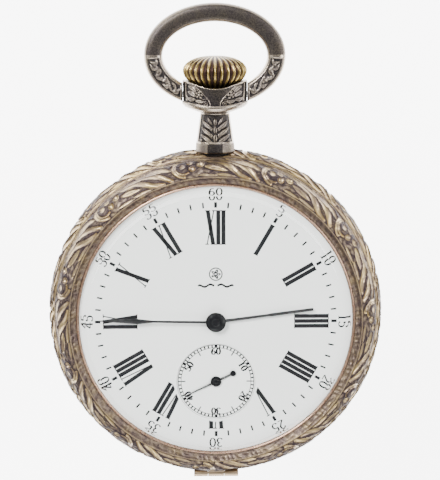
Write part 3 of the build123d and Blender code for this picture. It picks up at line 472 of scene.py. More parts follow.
def clouded(name, slow, stops, inputs, fine=None):
    """A material whose colour drifts with a slow noise.

    fine is a second noise's stretch and settings, its span of roughness, and its bump's depth and strength.
    """
    mat, tree, bsdf = shader(name)
    connect(tree, bsdf, {"Base Color": ramp(tree, noise(tree, mapped(tree), *slow), stops), **inputs})
    if fine:
        stretch, settings, rough, texture = fine
        grain = noise(tree, mapped(tree, stretch), *settings)
        connect(tree, bsdf, {"Roughness": span(tree, grain, *rough)})
        if texture:
            bump(tree, bsdf, grain, *texture)
    return mat


def plain_metal(name, colour, rough, metallic=1.0, grain=3.0, depth=0.006, specular=0.5):
    """Plain metal with slight patches, smears and fine scratches."""
    stops = [(0.35, shade(colour, 0.88)), (0.65, shade(colour, 1.12))]
    fine = ((1000, 160, 1000), (grain, 4, 0.7), (0.3, 0.7, rough * 0.8, rough * 1.25), (depth, 0.6))
    return clouded(name, (0.35, 4), stops, {"Metallic": metallic, "Specular IOR Level": specular}, fine)


def striped_metal(name, colour, rough, pitch):
    """Bridge metal with broad finishing stripes."""
    mat, tree, bsdf = shader(name)
    inputs = {"Vector": mapped(tree), "Scale": 0.314 / pitch, "Distortion": 0.0}
    made = node(tree, "ShaderNodeTexWave", inputs, bands_direction="DIAGONAL", wave_profile="SAW")
    wave = made.outputs["Fac"]
    fine = noise(tree, mapped(tree, (4000, 4000, 1000)), 2.0, 3)
    stripes = ramp(tree, wave, [(0.0, shade(colour, 0.8)), (1.0, colour)])
    connect(tree, bsdf, {
        "Base Color": blend(tree, 0.6, stripes, (*colour, 1.0)),
        "Roughness": span(tree, fine, 0.3, 0.7, rough * 0.8, rough * 1.3),
        "Metallic": 1.0,
    })
    bump(tree, bsdf, wave, 0.05, 0.7)
    return mat


def glass_material(name):
    """Clear crystal that lets light through to the dial."""
    mat, tree, bsdf = shader(name)
    connect(tree, bsdf, {
        "Base Color": (0.985, 0.995, 0.99, 1),
        "Roughness": 0.0,
        "IOR": 1.38,
        "Transmission Weight": 1.0,
    })
    rays = node(tree, "ShaderNodeLightPath").outputs
    clear = node(tree, "ShaderNodeBsdfTransparent", {"Color": (0.97, 0.98, 0.975, 1)})
    lit = either(tree, either(tree, rays["Is Shadow Ray"], rays["Is Diffuse Ray"]), rays["Is Glossy Ray"])
    mix = node(tree, "ShaderNodeMixShader", {0: lit, 1: bsdf.outputs[0], 2: clear.outputs[0]})
    connect(tree, tree.nodes["Material Output"], {"Surface": mix.outputs[0]})
    return mat


MATERIALS = {
    "bezel": relief_metal("bezel_antique", (0.036, 0.027, 0.028), (0.152, 0.120, 0.093),
                          (0.41, 0.322, 0.178), (0.6, 0.32), 0.92, 0.9),
    "case": relief_metal("case_antique", (0.028, 0.020, 0.020), (0.125, 0.092, 0.060),
                         (0.38, 0.295, 0.165), (0.55, 0.28), 0.92, 0.9),
    "silver": relief_metal("silver_antique", (0.008, 0.008, 0.010), (0.080, 0.068, 0.059),
                           (0.40, 0.345, 0.28), (0.5, 0.24), 0.92, 0.4),
    "crown": relief_metal("crown_gold", (0.026, 0.014, 0.014), (0.105, 0.068, 0.030),
                          (0.38, 0.285, 0.095), (0.5, 0.25), 0.96, 0.3),
    "case_plain": plain_metal("case_plain", (0.36, 0.27, 0.18), 0.36),
    "lip": plain_metal("lip_rose", (0.42, 0.265, 0.185), 0.28),
    "silver_plain": plain_metal("silver_plain", (0.70, 0.68, 0.64), 0.24),
    "steel": plain_metal("polished_steel", (0.62, 0.62, 0.63), 0.2),
    "gilt": plain_metal("frosted_gilt", (0.82, 0.62, 0.30), 0.42, grain=9.0, depth=0.012),
    "blued": plain_metal("blued_steel", (0.02, 0.07, 0.32), 0.22),
    "hands": plain_metal("black_hands", (0.003, 0.003, 0.004), 0.34, metallic=0.0, specular=0.3),
    "copper": plain_metal("copper", (0.72, 0.42, 0.28), 0.35),
    "nickel": striped_metal("striped_nickel", (0.72, 0.70, 0.66), 0.26, 1.6),
    "enamel": clouded("white_enamel", (0.12, 3), [(0.3, shade(ENAMEL, 0.975)), (0.7, ENAMEL)],
                      {"Coat Weight": 0.35, "Coat Roughness": 0.05},
                      (EVEN, (2.2, 2), (0.2, 0.8, 0.16, 0.26), (0.01, 0.15))),
    "print": clouded("dial_black", (5.0, 4), [(0.3, (0.004, 0.004, 0.005)), (0.75, (0.016, 0.016, 0.018))],
                     {"Specular IOR Level": 0.15}, (EVEN, (5.0, 4), (0.3, 0.7, 0.5, 0.7), None)),
    "glass": glass_material("crystal_glass"),
    "ruby": clouded("ruby", (1.4, 2), [(0.3, (0.42, 0.005, 0.05)), (0.7, (0.75, 0.03, 0.16))],
                    {"Roughness": 0.06, "Transmission Weight": 0.45, "IOR": 1.76}),
}


def dress(obj, material):
    """Gives an object its only material."""
    obj.data.materials.clear()
    obj.data.materials.append(MATERIALS[material])
    return obj


def piece(obj, body, material, slot, *replaced):
    """A finished piece: its material, its body and the nodes it stands for. Its slot is not used."""
    dress(obj, material)
    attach(obj, body)
    if replaced:
        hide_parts(*replaced)
    return obj


# ---- bezel
def make_bezel():
    """The embossed bezel with its rose lip, hollow and bead line."""
    hollow = [(21.86 + 0.94 * t, 12.40 + 0.50 * t**2.2) for t in np.linspace(0, 1, 9)]
    turn = np.linspace(0.02, pi / 2 - 0.03, 40)
    band = np.stack([BEZEL_TOP_R + 2.53 * np.sin(turn), 9.45 + 3.52 * np.cos(turn) ** 0.85], -1)
    crest = [(BEAD_R, BEAD_Z), (BEZEL_TOP_R, BEZEL_TOP_Z)]
    outer = dense(np.vstack([hollow, crest, band, [(SEAM_R, 9.40), (SEAM_R, 9.36)]]), 0.075)
    inner = [(24.6, 9.36), (22.35, 9.36), (22.35, 11.9), (21.86, 11.9)]
    reach = distances(outer)
    low = reach[np.argmin(np.hypot(outer[:, 0] - BEZEL_TOP_R, outer[:, 1] - BEZEL_TOP_Z))] + 0.05
    bead_at = reach[np.argmin(np.hypot(outer[:, 0] - BEAD_R, outer[:, 1] - BEAD_Z))]
    width = reach[-1] - 0.2 - low
    v = reach - low
    field, relief = ornament(BEZEL_COLUMNS, np.clip(v, 0, width), width, BEZEL_PATTERN)
    fade = edge_fade(v, width, 0.25)
    height = 0.8 * field * fade
    relief = relief * unit(fade * 3) * (1 - 0.22 * unit(v / width))
    relief[:, (v <= 0) | (v >= width)] = 0.6
    trough = v < -0.22
    angles = round_angles(BEZEL_COLUMNS)[:, None]
    grain = softened(rng.random(height.shape), 2, 1) - 0.5
    chased = np.cos(angles * MOTIFS * 14 + 2.5 * reach + 2.0 * np.sin(angles * MOTIFS * 3))
    relief[:, trough] = (0.27 + grain + 0.05 * chased)[:, trough]
    height[:, trough] = (0.4 * grain + 0.03 * chased)[:, trough]
    x = np.mod(angles * BEADS / (2 * pi), 1) * 2 - 1
    y = (reach - bead_at) / 0.12
    height = height + 0.07 * np.sqrt(unit(1 - x * x - y * y))
    height[:, [0, -1]] = 0
    obj = turned_shell("bezel_ring", outer, inner, -height, relief, 0.45)
    piece(obj, "bezel", "bezel", "case_metal", "bezel")
    lip = [(21.85, 11.9), (22.3, 11.88), (22.3, 11.66), (21.38, 11.68), (21.38, 12.0), (21.82, 12.02),
           (21.80, 12.34), (21.50, 12.36), (21.50, 12.50), (21.55, 12.60), (21.66, 12.64), (21.78, 12.60),
           (21.85, 12.50), (21.85, 12.30)]
    obj = torus_grid("bezel_lip", turned_points(lip, round_angles(LIP_COLUMNS)))
    piece(obj, "bezel", "lip", "case_metal")


make_bezel()


# ---- case middle
SIDE_SPANS = ((-3.6, -1.34), (1.34, 3.6))  # the case's knuckles along X
MIDDLE_SPAN = ((-1.3, 1.3),)  # the covers' knuckle between them
CUVETTE_SPANS = ((-3.0, -1.04), (1.04, 3.0))
KNUCKLE_R, KNUCKLE_WEB = 0.6, 1.6
CUVETTE_HINGE_Y, CUVETTE_HINGE_Z = -22.5, 3.75
CUVETTE_KNUCKLE_R, CUVETTE_WEB = 0.42, 0.3


def tube(points, radius, sides=20):
    """A straight or bent rod of round section with closed ends."""
    points = np.asarray(points, dtype=float)
    steps = np.gradient(points, axis=0)
    steps /= np.linalg.norm(steps, axis=1, keepdims=True)
    across = np.cross(steps, (0.0, 0.0, 1.0))
    across /= np.linalg.norm(across, axis=1, keepdims=True)
    up = np.cross(across, steps)
    turns = round_angles(sides)[::-1, None]
    return capped(points[:, None] + radius * (np.cos(turns) * across[:, None] + np.sin(turns) * up[:, None]))


def slab(x, y, z):
    """A box between two values on each axis."""
    corners = [(x[0], y[0]), (x[1], y[0]), (x[1], y[1]), (x[0], y[1])]
    return capped([[(*corner, height) for corner in corners] for height in z])


def knuckles(name, spans, y, z, radius, web_y, web_z, body, material="case_plain"):
    """Hinge knuckles of a cover or of the case, each with its web."""
    parts = []
    for low, high in spans:
        parts.append(tube([(x, y, z) for x in (low, low + 0.05, high - 0.05, high)], radius))
        parts.append(slab((low, high), web_y, web_z))
    piece(merged(name, parts), body, material, "case_metal")


def make_case_middle():
    """The band of the case, a bulge with the ornament between two seams."""
    low, high = SEAM_BACK_Z + 0.03, SEAM_FRONT_Z - 0.03
    bend = np.linspace(-1, 1, 44)
    bulge = SEAM_R + (CASE_R - SEAM_R) * (1 - bend**2) ** 0.8
    outer = np.stack([bulge, (low + high) / 2 - bend * (high - low) / 2], -1)
    inner = [(25.0, low), (22.5, low), (22.5, 2.87), (22.0, 2.87), (22.0, 7.35), (21.3, 7.35), (21.3, high),
             (25.2, high)]
    reach = distances(outer)
    width = reach[-1] - 0.7
    v = reach - 0.35
    field, relief = ornament(BAND_COLUMNS, np.clip(v, 0, width), width, BAND_PATTERN, BAND_START)
    fade = edge_fade(v, width, 0.3)
    height = 0.62 * field * fade - 0.16 * unit(fade * 2)
    height[:, [0, -1]] = 0
    relief[:, (v < 0) | (v > width)] = 0.7
    relief[:, (reach < 0.16) | (reach > reach[-1] - 0.16)] = 0.0
    obj = turned_shell("case_band", outer, inner, -height, relief, 0.45)
    piece(obj, "case", "case", "case_metal", "case_middle")


def make_knuckles():
    """The knuckles of the three hinges."""
    for name, spans, z, web_z, body in (
        ("case_knuckles", SIDE_SPANS, SEAM_FRONT_Z, (8.8, 9.28), "case"),
        ("case_back_knuckles", SIDE_SPANS, SEAM_BACK_Z, (4.42, 4.9), "case"),
        ("bezel_knuckle", MIDDLE_SPAN, SEAM_FRONT_Z, (9.37, 9.85), "bezel"),
        ("back_knuckle", MIDDLE_SPAN, SEAM_BACK_Z, (3.85, 4.33), "back"),
    ):
        knuckles(name, spans, HINGE_Y, z, KNUCKLE_R, (HINGE_Y, HINGE_Y + KNUCKLE_WEB), web_z, body)
    web_y = (CUVETTE_HINGE_Y - CUVETTE_WEB, CUVETTE_HINGE_Y + CUVETTE_WEB)
    knuckles("cuvette_knuckles", CUVETTE_SPANS, CUVETTE_HINGE_Y, CUVETTE_HINGE_Z, CUVETTE_KNUCKLE_R,
             web_y, (CUVETTE_HINGE_Z, 4.7), "case", "silver_plain")


make_case_middle()
make_knuckles()


# ---- back cover
BACK_FLAT_R = 17.0  # the back's flat, which the watch lies on
BACK_THICK = 0.65
AXIS_R = 0.02  # turned shells stop this far from their axis
BACK_BAND = 7.2  # width of the back's ornament
ROSETTE_R = (5.2, 16.0)  # the engine turning runs between these radii
GROOVES = ((16.4, 0.14), (5.0, 0.14), (4.3, 0.1))  # radius and half width


def make_back():
    """The back cover: embossed shoulder round an engine-turned centre."""
    top = SEAM_BACK_Z - 0.025
    run = SEAM_R - BACK_FLAT_R
    bend = (run * run + top * top) / (2 * top)
    turn = np.linspace(acos((bend - top) / bend), 0, 60)
    arc = np.stack([BACK_FLAT_R + bend * np.sin(turn), bend - bend * np.cos(turn)], -1)
    centre = np.stack([np.linspace(BACK_FLAT_R, AXIS_R, 64)[1:], np.zeros(63)], -1)
    outer = np.vstack([arc, centre])
    bend_in = bend - BACK_THICK
    turn = np.linspace(0, acos((bend - top) / bend_in), 14)
    inner = np.stack([BACK_FLAT_R + bend_in * np.sin(turn), bend - bend_in * np.cos(turn)], -1)
    inner = np.vstack([[(AXIS_R, BACK_THICK), (8.0, BACK_THICK)], inner])
    v = distances(outer) - 0.5
    rows = np.clip(BACK_BAND - v, 0, BACK_BAND)
    field, relief = ornament(BACK_COLUMNS, rows, BACK_BAND, BACK_PATTERN, -MOTIF_START)
    fade = edge_fade(v, BACK_BAND, 0.3)
    height = field * fade * 0.5 - 0.22 * unit(fade * 2)
    relief = relief * unit(fade * 3)
    relief[:, (v < 0) | (v > BACK_BAND)] = 0.75
    r, a = outer[:, 0], round_angles(BACK_COLUMNS)[:, None]
    rosette = np.cos(24 * a + 5 * np.sin(r * 0.55)) * np.cos(r * 2.4 + 2.5 * np.cos(12 * a))
    inside = edge_fade(r - ROSETTE_R[0], ROSETTE_R[1] - ROSETTE_R[0], 0.3)
    height = height - 0.05 * inside * (0.5 - 0.5 * rosette)
    relief = np.where(inside > 0.5, 0.5 + 0.25 * rosette, relief)
    for place, half in GROOVES:
        groove = bell(r, place, half)
        height = height - 0.07 * groove
        relief = relief - 0.6 * groove
    height = np.minimum(height, 0.9 * outer[:, 1])  # the relief stays above the ground
    height[:, 0] = 0
    obj = turned_shell("back_shell", outer, inner, height, unit(relief), 0.7)
    piece(obj, "back", "case", "case_metal", "back_cover")


make_back()


# ---- surfaces round the stem
def stem_points(reach, y, phi):
    """Points at a reach from the stem's axis. phi is 0 at +Z and grows towards +X."""
    return np.stack(np.broadcast_arrays(reach * np.sin(phi), y, STEM_Z + reach * np.cos(phi)), -1)


def section(rows, phi, power):
    """Points of superellipse sections round the stem's axis, from rows of (half x, half z, y)."""
    half_x, half_z, y = np.transpose(rows)
    reach = (np.abs(np.sin(phi) / half_x) ** power + np.abs(np.cos(phi) / half_z) ** power) ** (-1 / power)
    return stem_points(reach, y, phi)


def loft(name, rows, inner, power, relief_of, columns):
    """A closed shell round the stem between two sets of rows; relief_of gives its relief, tone and shift."""
    phi = np.linspace(-pi, pi, columns, endpoint=False)[:, None]
    outer, hollow = section(rows, phi, power), section(inner, phi, 2.0)
    height, tone, shift = relief_of(outer, phi)
    hollow[:, 0] += shift[:, -1]
    points = np.concatenate([outer + shift, hollow], axis=1)
    pad = np.zeros((columns, len(inner)))
    return torus_grid(name, points, np.hstack([height, pad]), np.hstack([tone, pad + 0.3]))


def mirror_leafy(x, y):
    """The cup's flower sprig beside its plain facet: x runs out from the middle, y up from the flange."""
    petals = arc_points(2.35, 1.55, 0.44, 0.44, 20, 308, 5)
    return stack(
        dome(x, y, 2.35, 1.55, 0.27, 0.24),
        *[dome(x, y, cx, cy, 0.24, 0.22) for cx, cy in petals],
        dome(x, y, 1.35, 0.42, 0.2, 0.18),
        loop(x, y, 1.35, 0.42, 0.3, 0.07, 0.14),
        leaf(x, y, [(1.6, 0.75), (2.3, 0.50), (3.2, 0.62)], 0.38, 0.26),
        leaf(x, y, [(2.9, 1.1), (3.5, 1.5), (4.4, 1.6)], 0.44, 0.28),
        leaf(x, y, [(3.0, 0.7), (3.8, 0.55), (4.6, 0.75)], 0.40, 0.28),
        leaf(x, y, [(2.8, 1.8), (3.4, 2.3), (4.3, 2.45)], 0.42, 0.28),
        leaf(x, y, [(2.5, 2.1), (2.9, 2.5), (3.6, 2.75)], 0.22, 0.22),
        rib(x, y, [(4.5, 0.3), (4.8, 1.4), (4.75, 2.7)], 0.16, 0.22, 0.6),
        rib(x, y, [(1.2, 1.05), (1.8, 1.0), (2.0, 1.3)], 0.1, 0.14, 0.5),
    )


def make_cup():
    """The cup: a dished flange, two leaf panels on each face and a plain hourglass facet between them."""
    base, top = CUP_LOW, CUP_TOP
    foot = base + 1.2
    span = top - base - 1.25
    flange = [(2.35, 2.35, base - 0.12), (2.9, 2.7, base - 0.08), (3.9, 3.35, base + 0.12),
              (4.7, 3.85, base + 0.42), (5.12, 4.08, base + 0.82), (5.1, 4.08, base + 1.1)]
    wall = [(4.93 + 0.07 * t, 3.9 + 0.1 * t, foot + span * t) for t in np.linspace(0, 1, 56)]
    rows = np.vstack([dense(flange, 0.09), wall, [(4.85, 3.88, top), (4.62, 3.7, top)]])
    hollow = [(4.4, 3.62, top - 0.2), (4.0, 3.5, 35.6), (2.0, 2.0, 35.6)]
    hollow += [(BORE_R, BORE_R, y) for y in (35.6, 34.0, base)]

    def relief_of(points, _):
        """Panels on the faces towards +Z and -Z; the rim dips between the two ears."""
        side = np.abs(points[..., 0])
        around = side + 0.5 * np.clip(4.0 - np.abs(points[..., 2] - STEM_Z), 0, 4)
        up = points[..., 1] - foot
        share = unit(up / span)
        edge = 0.78 + 3.2 * share**2.3
        inside = (around > edge + 0.16) & (around < 6.4) & (up > 0.14) & (share < 0.94)
        field = mirror_leafy(around * 0.86, up * 3.0 / span)
        border = bell(around, edge + 0.06, 0.07) * (up > 0)
        height = np.where(inside, -0.17 + field, 0.0) + 0.07 * border
        # leaf panels: wear with painted cavity shade
        tone = np.where(inside, patina(field, 3, 1, 0.12, 2.6, 1.3), 0.70)
        # painted reflection: the plain hourglass facet is painted nearly black, as a dark reflection
        tone = np.where((around <= edge) & (up > 0.02), 0.14, tone)
        tone = np.maximum(tone, 0.9 * border)
        tone = np.where((up > 0) & (up < 0.13), 0.02, tone)
        tone = np.where(share > 0.97, 0.9, tone)
        tone = np.where((around > 6.4) & (up > 0), 0.32, tone)
        dip = (0.6 + 0.55 * share) * np.exp(-((side / 3.3) ** 2.5))
        shift = np.zeros(points.shape)
        shift[..., 1] = -dip
        return height, tone, shift

    obj = loft("cup_shell", rows, hollow, 2.2, relief_of, CUP_COLUMNS)
    piece(obj, "case", "silver", "silver", "crown_cup")


def make_neck():
    """The neck: a faceted foot, a collar and a tapered shaft with buds and leaves."""
    low, band, top = NECK_LOW, NECK_BAND, NECK_TOP
    run = top - COLLAR - band
    foot = [(2.5, low - 0.55), (2.6, low - 0.04), (2.98, low), (3.02, low + 0.12), (2.96, band - 0.2),
            (2.80, band)]
    shaft = [(NECK_R - NECK_TAPER * t, band + 0.02 + run * t) for t in np.linspace(0, 1, 66)]
    collar = [(2.30, top - 0.68), (2.42, top - 0.5), (2.44, top - 0.25), (2.45, top)]
    rows = [(r, r * 0.94, y) for r, y in np.vstack([dense(foot, 0.1), shaft, dense(collar, 0.08)])]
    hollow = [(BORE_R, BORE_R, y) for y in (top, 28.0, low - 0.55)]

    def relief_of(points, phi):
        """Facets on the foot; leaves either side of a row of buds on the shaft."""
        y = points[..., 1]
        up = y - band
        half = NECK_R - NECK_TAPER * unit(up / run)
        s = np.abs(points[..., 0])
        buds = [leaf(s, up, [(0.0, b), (0.0, b + 0.65), (0.0, b + 1.3)], 0.42 - 0.03 * b, 0.26, 0.8)
                for b in (0.15, 1.4, 2.6)]
        large = [leaf(s, up, [(0.50, b), (1.2, b + 0.4), (2.3 - 0.17 * b, b + 1.25)], 0.40, 0.26)
                 for b in (0.1, 1.15, 2.2)]
        small = [leaf(s, up, [(0.45, b), (0.85, b + 0.5), (1.2, b + 1.2)], 0.24, 0.22)
                 for b in (0.7, 1.8, 2.8)]
        field = stack(
            *buds, *large, *small,
            *[loop(s, up, 0.66, b, 0.2, 0.08, 0.22) for b in (1.2, 2.2)],
            dome(s, up, 2.25, 0.42, 0.24, 0.18),
        )
        shaft_part = (up > 0.12) & (y < top - 0.8)
        inside = shaft_part & (s < half * 0.93) & (np.abs(points[..., 2] - STEM_Z) > half * 0.3)
        height = np.where(inside, field - 0.15, 0.0)
        # leaves and buds: wear with painted cavity shade
        tone = np.where(inside, patina(field, 2, 1, 0.10, 2.6, 1.4), 0.8)
        # painted light on the octagonal foot: each facet gets its own painted shade, and the facet facing +Z
        # a painted dark reflection
        facet = np.mod(np.floor((phi / (2 * pi) + 0.0625) * 8), 8)
        facet_shading = 0.68 + 0.25 * np.cos(facet * 2.4)
        tone = np.where((up < -0.1) & (y > low), np.where(facet == 0, 0.1, facet_shading), tone)
        # painted shade: the neck below the foot, where it sinks into the case, is painted black
        tone = np.where(y < low - 0.02, 0.0, tone)
        flats = np.cos(pi / 8) / np.cos(np.mod(phi + pi / 8, pi / 4) - pi / 8) - 1
        lower = (up < 0) & (y > low - 0.5)
        shift = (points - (0, 0, STEM_Z)) * (1, 0, 1) * (lower * (flats + 0.05))[..., None]
        return height, tone, shift

    obj = loft("neck_shell", rows, hollow, 2.6, relief_of, NECK_COLUMNS)
    piece(obj, "case", "silver", "silver", "pendant_neck")


def make_crown():
    """The onion crown: narrow bright ridges between deep flutes that meet at the top."""
    columns = FLUTES * 20
    low, top = CROWN_LOW, CROWN_TOP
    side = [(2.3, low), (3.0, low + 0.4), (3.85, low + 1.0), (4.58, low + 1.75), (CROWN_R, low + 2.65),
            (4.82, low + 3.4), (4.22, low + 4.1), (3.1, low + 4.68), (1.6, top - 0.09), (0.03, top)]
    phi = round_angles(columns)[:, None]
    r, y = smooth_line(side, 70).T
    ridge = np.abs(np.cos(phi * FLUTES / 2)) ** 3.6
    depth = 0.46 * unit(r / CROWN_R) ** 1.3 * np.clip((y - low) / 0.5, 0.15, 1)
    tone = ridge * (0.92 - 0.25 * unit(y - low - 3.6)) - 0.12 * bell(y, low + 2.7, 0.7)
    tone = unit(tone)
    tone = np.where(r < 1.3, np.maximum(tone, 0.4), tone)
    outer = stem_points(r - depth * (1 - ridge), y, phi)
    floor = stem_points(np.array([0.03, 0.47, 1.6]), low + 0.1, phi)
    points = np.concatenate([outer, floor], axis=1)
    obj = torus_grid("crown_onion", points, None, np.hstack([tone, np.zeros(floor.shape[:2])]))
    piece(obj, "crown", "crown", "crown_gold", "crown")


def bow_field(far, across):
    """The bow's panel, by distance from the bow's end and across it: a wavy stem, leaves and berries."""
    stem = [(0.1, -0.35), (1.3, 0.5), (2.6, -0.4), (4.0, 0.5), (5.2, -0.35), (6.4, 0.4)]
    leaves = ((0.2, 1), (0.7, -1), (1.7, 1), (2.4, -1), (3.4, 1), (4.1, -1), (5.0, 1), (5.6, -1))
    berries = ((2.1, 0.5), (3.1, 0.05), (4.8, -0.45), (6.2, 0.1))
    return stack(
        rib(far, across, stem, 0.19, 0.22, 0.6),
        *[leaf(far, across, [(c, -0.1 * d), (c + 0.5, 0.4 * d), (c + 1.2, 0.6 * d)], 0.30, 0.24)
          for c, d in leaves],
        *[dome(far, across, c, d, 0.28, 0.26) for c, d in berries],
    )


def make_bow():
    """The bow: an ellipse from cup side to cup side, thicker at the top, with a panel on each arm."""
    start = acos(BOW_END_X / BOW_A)
    t = np.linspace(-start, pi + start, BOW_STATIONS)
    line = np.stack([BOW_A * np.cos(t), BOW_Y + BOW_B * np.sin(t)], -1)
    onward = np.gradient(line, axis=0)
    onward /= np.linalg.norm(onward, axis=1, keepdims=True)
    normal = np.stack([onward[:, 1], -onward[:, 0]], -1)
    reach = distances(line)
    far = np.minimum(reach, reach[-1] - reach)[:, None]
    wide = 1.30 + 0.12 * unit(far / 4.0)
    deep = 1.10 + 0.13 * unit(far / 6.0)
    q = round_angles(BOW_COLUMNS)
    cx, cz = (np.sign(c) * np.abs(c) ** (2 / 3) for c in (np.cos(q), np.sin(q)))
    lean = unit(1 - far / 2.2) * normal[:, :1] / onward[:, :1] * wide
    edge = normal * wide - onward * lean
    x, y = (line[:, k:k + 1] + edge[:, k:k + 1] * cx for k in (0, 1))
    points = np.stack([x, y, STEM_Z + deep * cz], -1)
    across = wide * cx
    face = np.abs(cz) > 0.86
    panel = face & (np.abs(across) < wide * 0.66) & (far > 0.28) & (far < 7.2)
    field = bow_field(far - 0.3, across)
    height = np.where(panel, field - 0.13, 0.0)
    # bow panels: wear with painted cavity shade
    tone = np.where(panel, patina(field, 2, 1, 0.16, 2.4, 1.2), 0.76)
    border = face & (np.abs(np.abs(across) - wide * 0.80) < 0.08) & (far > 0.15) & (far < 7.3)
    tone = np.where(border | (far < 0.14), 0.03, tone)
    # painted light on the plain top of the bow: its faces painted darker and its rounded sides lighter, a
    # painted sheen
    tone = np.where(far > 7.7, np.where(face, 0.2, 0.5), tone)
    points = points + normals_of(points, False, True) * height[..., None]
    vertices, faces = capped(points[:, ::-1])
    obj = build("bow_loop", vertices, faces, relief=tone[:, ::-1])
    piece(obj, "bow", "silver", "silver", "bow")


make_cup()
make_neck()
make_crown()
make_bow()


# ---- dial printing
PRINT = (-0.004, 0.014)  # the fired print stands this far under and over the enamel
SECONDS_EDGE = 6.55  # the hour numerals stop this far from the seconds dial's middle
ROMAN = "I II III IIII V VI VII VIII IX X XI XII".split()
ROMAN_FOOT, ROMAN_HEAD = 12.3, 17.7
ROMAN_WIDTH = {"I": 0.80, "V": 1.62, "X": 1.62}
STEM_W, HAIR, SERIF_HALF = 0.64, 0.17, 0.07
DIGIT_ADVANCE, DIGIT_STRETCH = 0.64, 1.12
MARK_LOW, MARK_HIGH = 18.1, 18.97  # the minute marks
MINUTE_NUMBERS_R, MINUTE_NUMBERS_H = 19.25, 1.55
SECONDS_NUMBERS_R, SECONDS_NUMBERS_H = 4.40, 1.08
TRACK_IN, TRACK_OUT = 5.53, 6.0  # the two lines of the seconds track
ROSETTE_Y, FLOURISH_Y = 7.6, 5.75


def strip(left, right, z):
    """A closed thin solid between two matching lines."""
    low, high = (np.full(len(left), z + step) for step in PRINT)
    lines = ((left, low), (right, low), (right, high), (left, high))
    return capped(np.stack([np.c_[line, height] for line, height in lines], 1))


def placed(points, angle, radius, centre=(0.0, 0.0)):
    """Points of (across, outwards) turned clockwise from 12 and set at a radius."""
    points = np.asarray(points, dtype=float)
    a = radians(angle)
    x, y = points[:, 0], points[:, 1] + radius
    return np.c_[centre[0] + x * cos(a) + y * sin(a), centre[1] - x * sin(a) + y * cos(a)]


def pen(points, thin, thick, angle, radius, z, scale=1.0, centre=(0.0, 0.0)):
    """A pen stroke, thick where it runs up or down and thin where it runs across."""
    points = np.asarray(points, dtype=float) * scale
    step = np.gradient(points, axis=0)
    step /= np.maximum(np.linalg.norm(step, axis=1, keepdims=True), 1e-9)
    half = (thin + (thick - thin) * np.abs(step[:, 1]) ** 1.6) / 2
    side = np.stack([-step[:, 1], step[:, 0]], -1) * half[:, None]
    return strip(*(placed(points + s * side, angle, radius, centre) for s in (1, -1)), z)


def bar(x0, y0, x1, y1, width, clip, angle):
    """A straight stroke of an hour numeral, cut off where it would run into the seconds dial."""
    t = np.linspace(0, 1, 33)
    sides = []
    for sign in (-1, 1):
        line = np.stack([x0 + (x1 - x0) * t + sign * width / 2, y0 + (y1 - y0) * t], -1)
        line = placed(line, angle, ROMAN_FOOT)
        if clip:
            line = line[np.hypot(line[:, 0], line[:, 1] - SECONDS_Y) > SECONDS_EDGE]
            if len(line) < 2:
                return []
        sides.append(along(line, 5))
    return [strip(*sides, DIAL_Z)]


def serif(x, half, y, clip, angle):
    """A hairline serif, left out inside the seconds dial."""
    line = placed([(x - half, y), (x + half, y)], angle, ROMAN_FOOT)
    if clip and (np.hypot(line[:, 0], line[:, 1] - SECONDS_Y) < SECONDS_EDGE).any():
        return []
    upper, lower = (placed([(at, y + side) for at in (x - half, x, x + half)], angle, ROMAN_FOOT)
                    for side in (SERIF_HALF, -SERIF_HALF))
    return [strip(upper, lower, DIAL_Z)]


def roman(hour):
    """The strips of one hour numeral, feet towards the centre."""
    text = ROMAN[hour - 1]
    high = ROMAN_HEAD - ROMAN_FOOT
    x = -sum(ROMAN_WIDTH[c] for c in text) / 2
    where = (hour in (5, 6, 7), 30 * hour)
    parts = []
    for letter in text:
        w = ROMAN_WIDTH[letter]
        foot, head = 0.06, high - 0.06
        if letter == "I":
            middle = x + w / 2
            parts += bar(middle, 0.05, middle, high - 0.05, STEM_W, *where)
            serifs = [(middle, 0.40, head), (middle, 0.40, foot)]
        elif letter == "V":
            parts += bar(x + 0.36, high, x + w / 2 + 0.02, 0.0, STEM_W * 0.98, *where)
            parts += bar(x + w - 0.26, high, x + w / 2 + 0.2, 0.1, HAIR, *where)
            serifs = [(x + 0.36, 0.42, head), (x + w - 0.26, 0.28, head)]
        else:
            parts += bar(x + 0.38, high, x + w - 0.38, 0.0, STEM_W * 0.98, *where)
            parts += bar(x + w - 0.28, high, x + 0.28, 0.0, HAIR, *where)
            serifs = [(x + 0.38, 0.40, head), (x + w - 0.28, 0.28, head), (x + w - 0.38, 0.40, foot),
                      (x + 0.28, 0.28, foot)]
        for values in serifs:
            parts += serif(*values, *where)
        x += w
    return parts


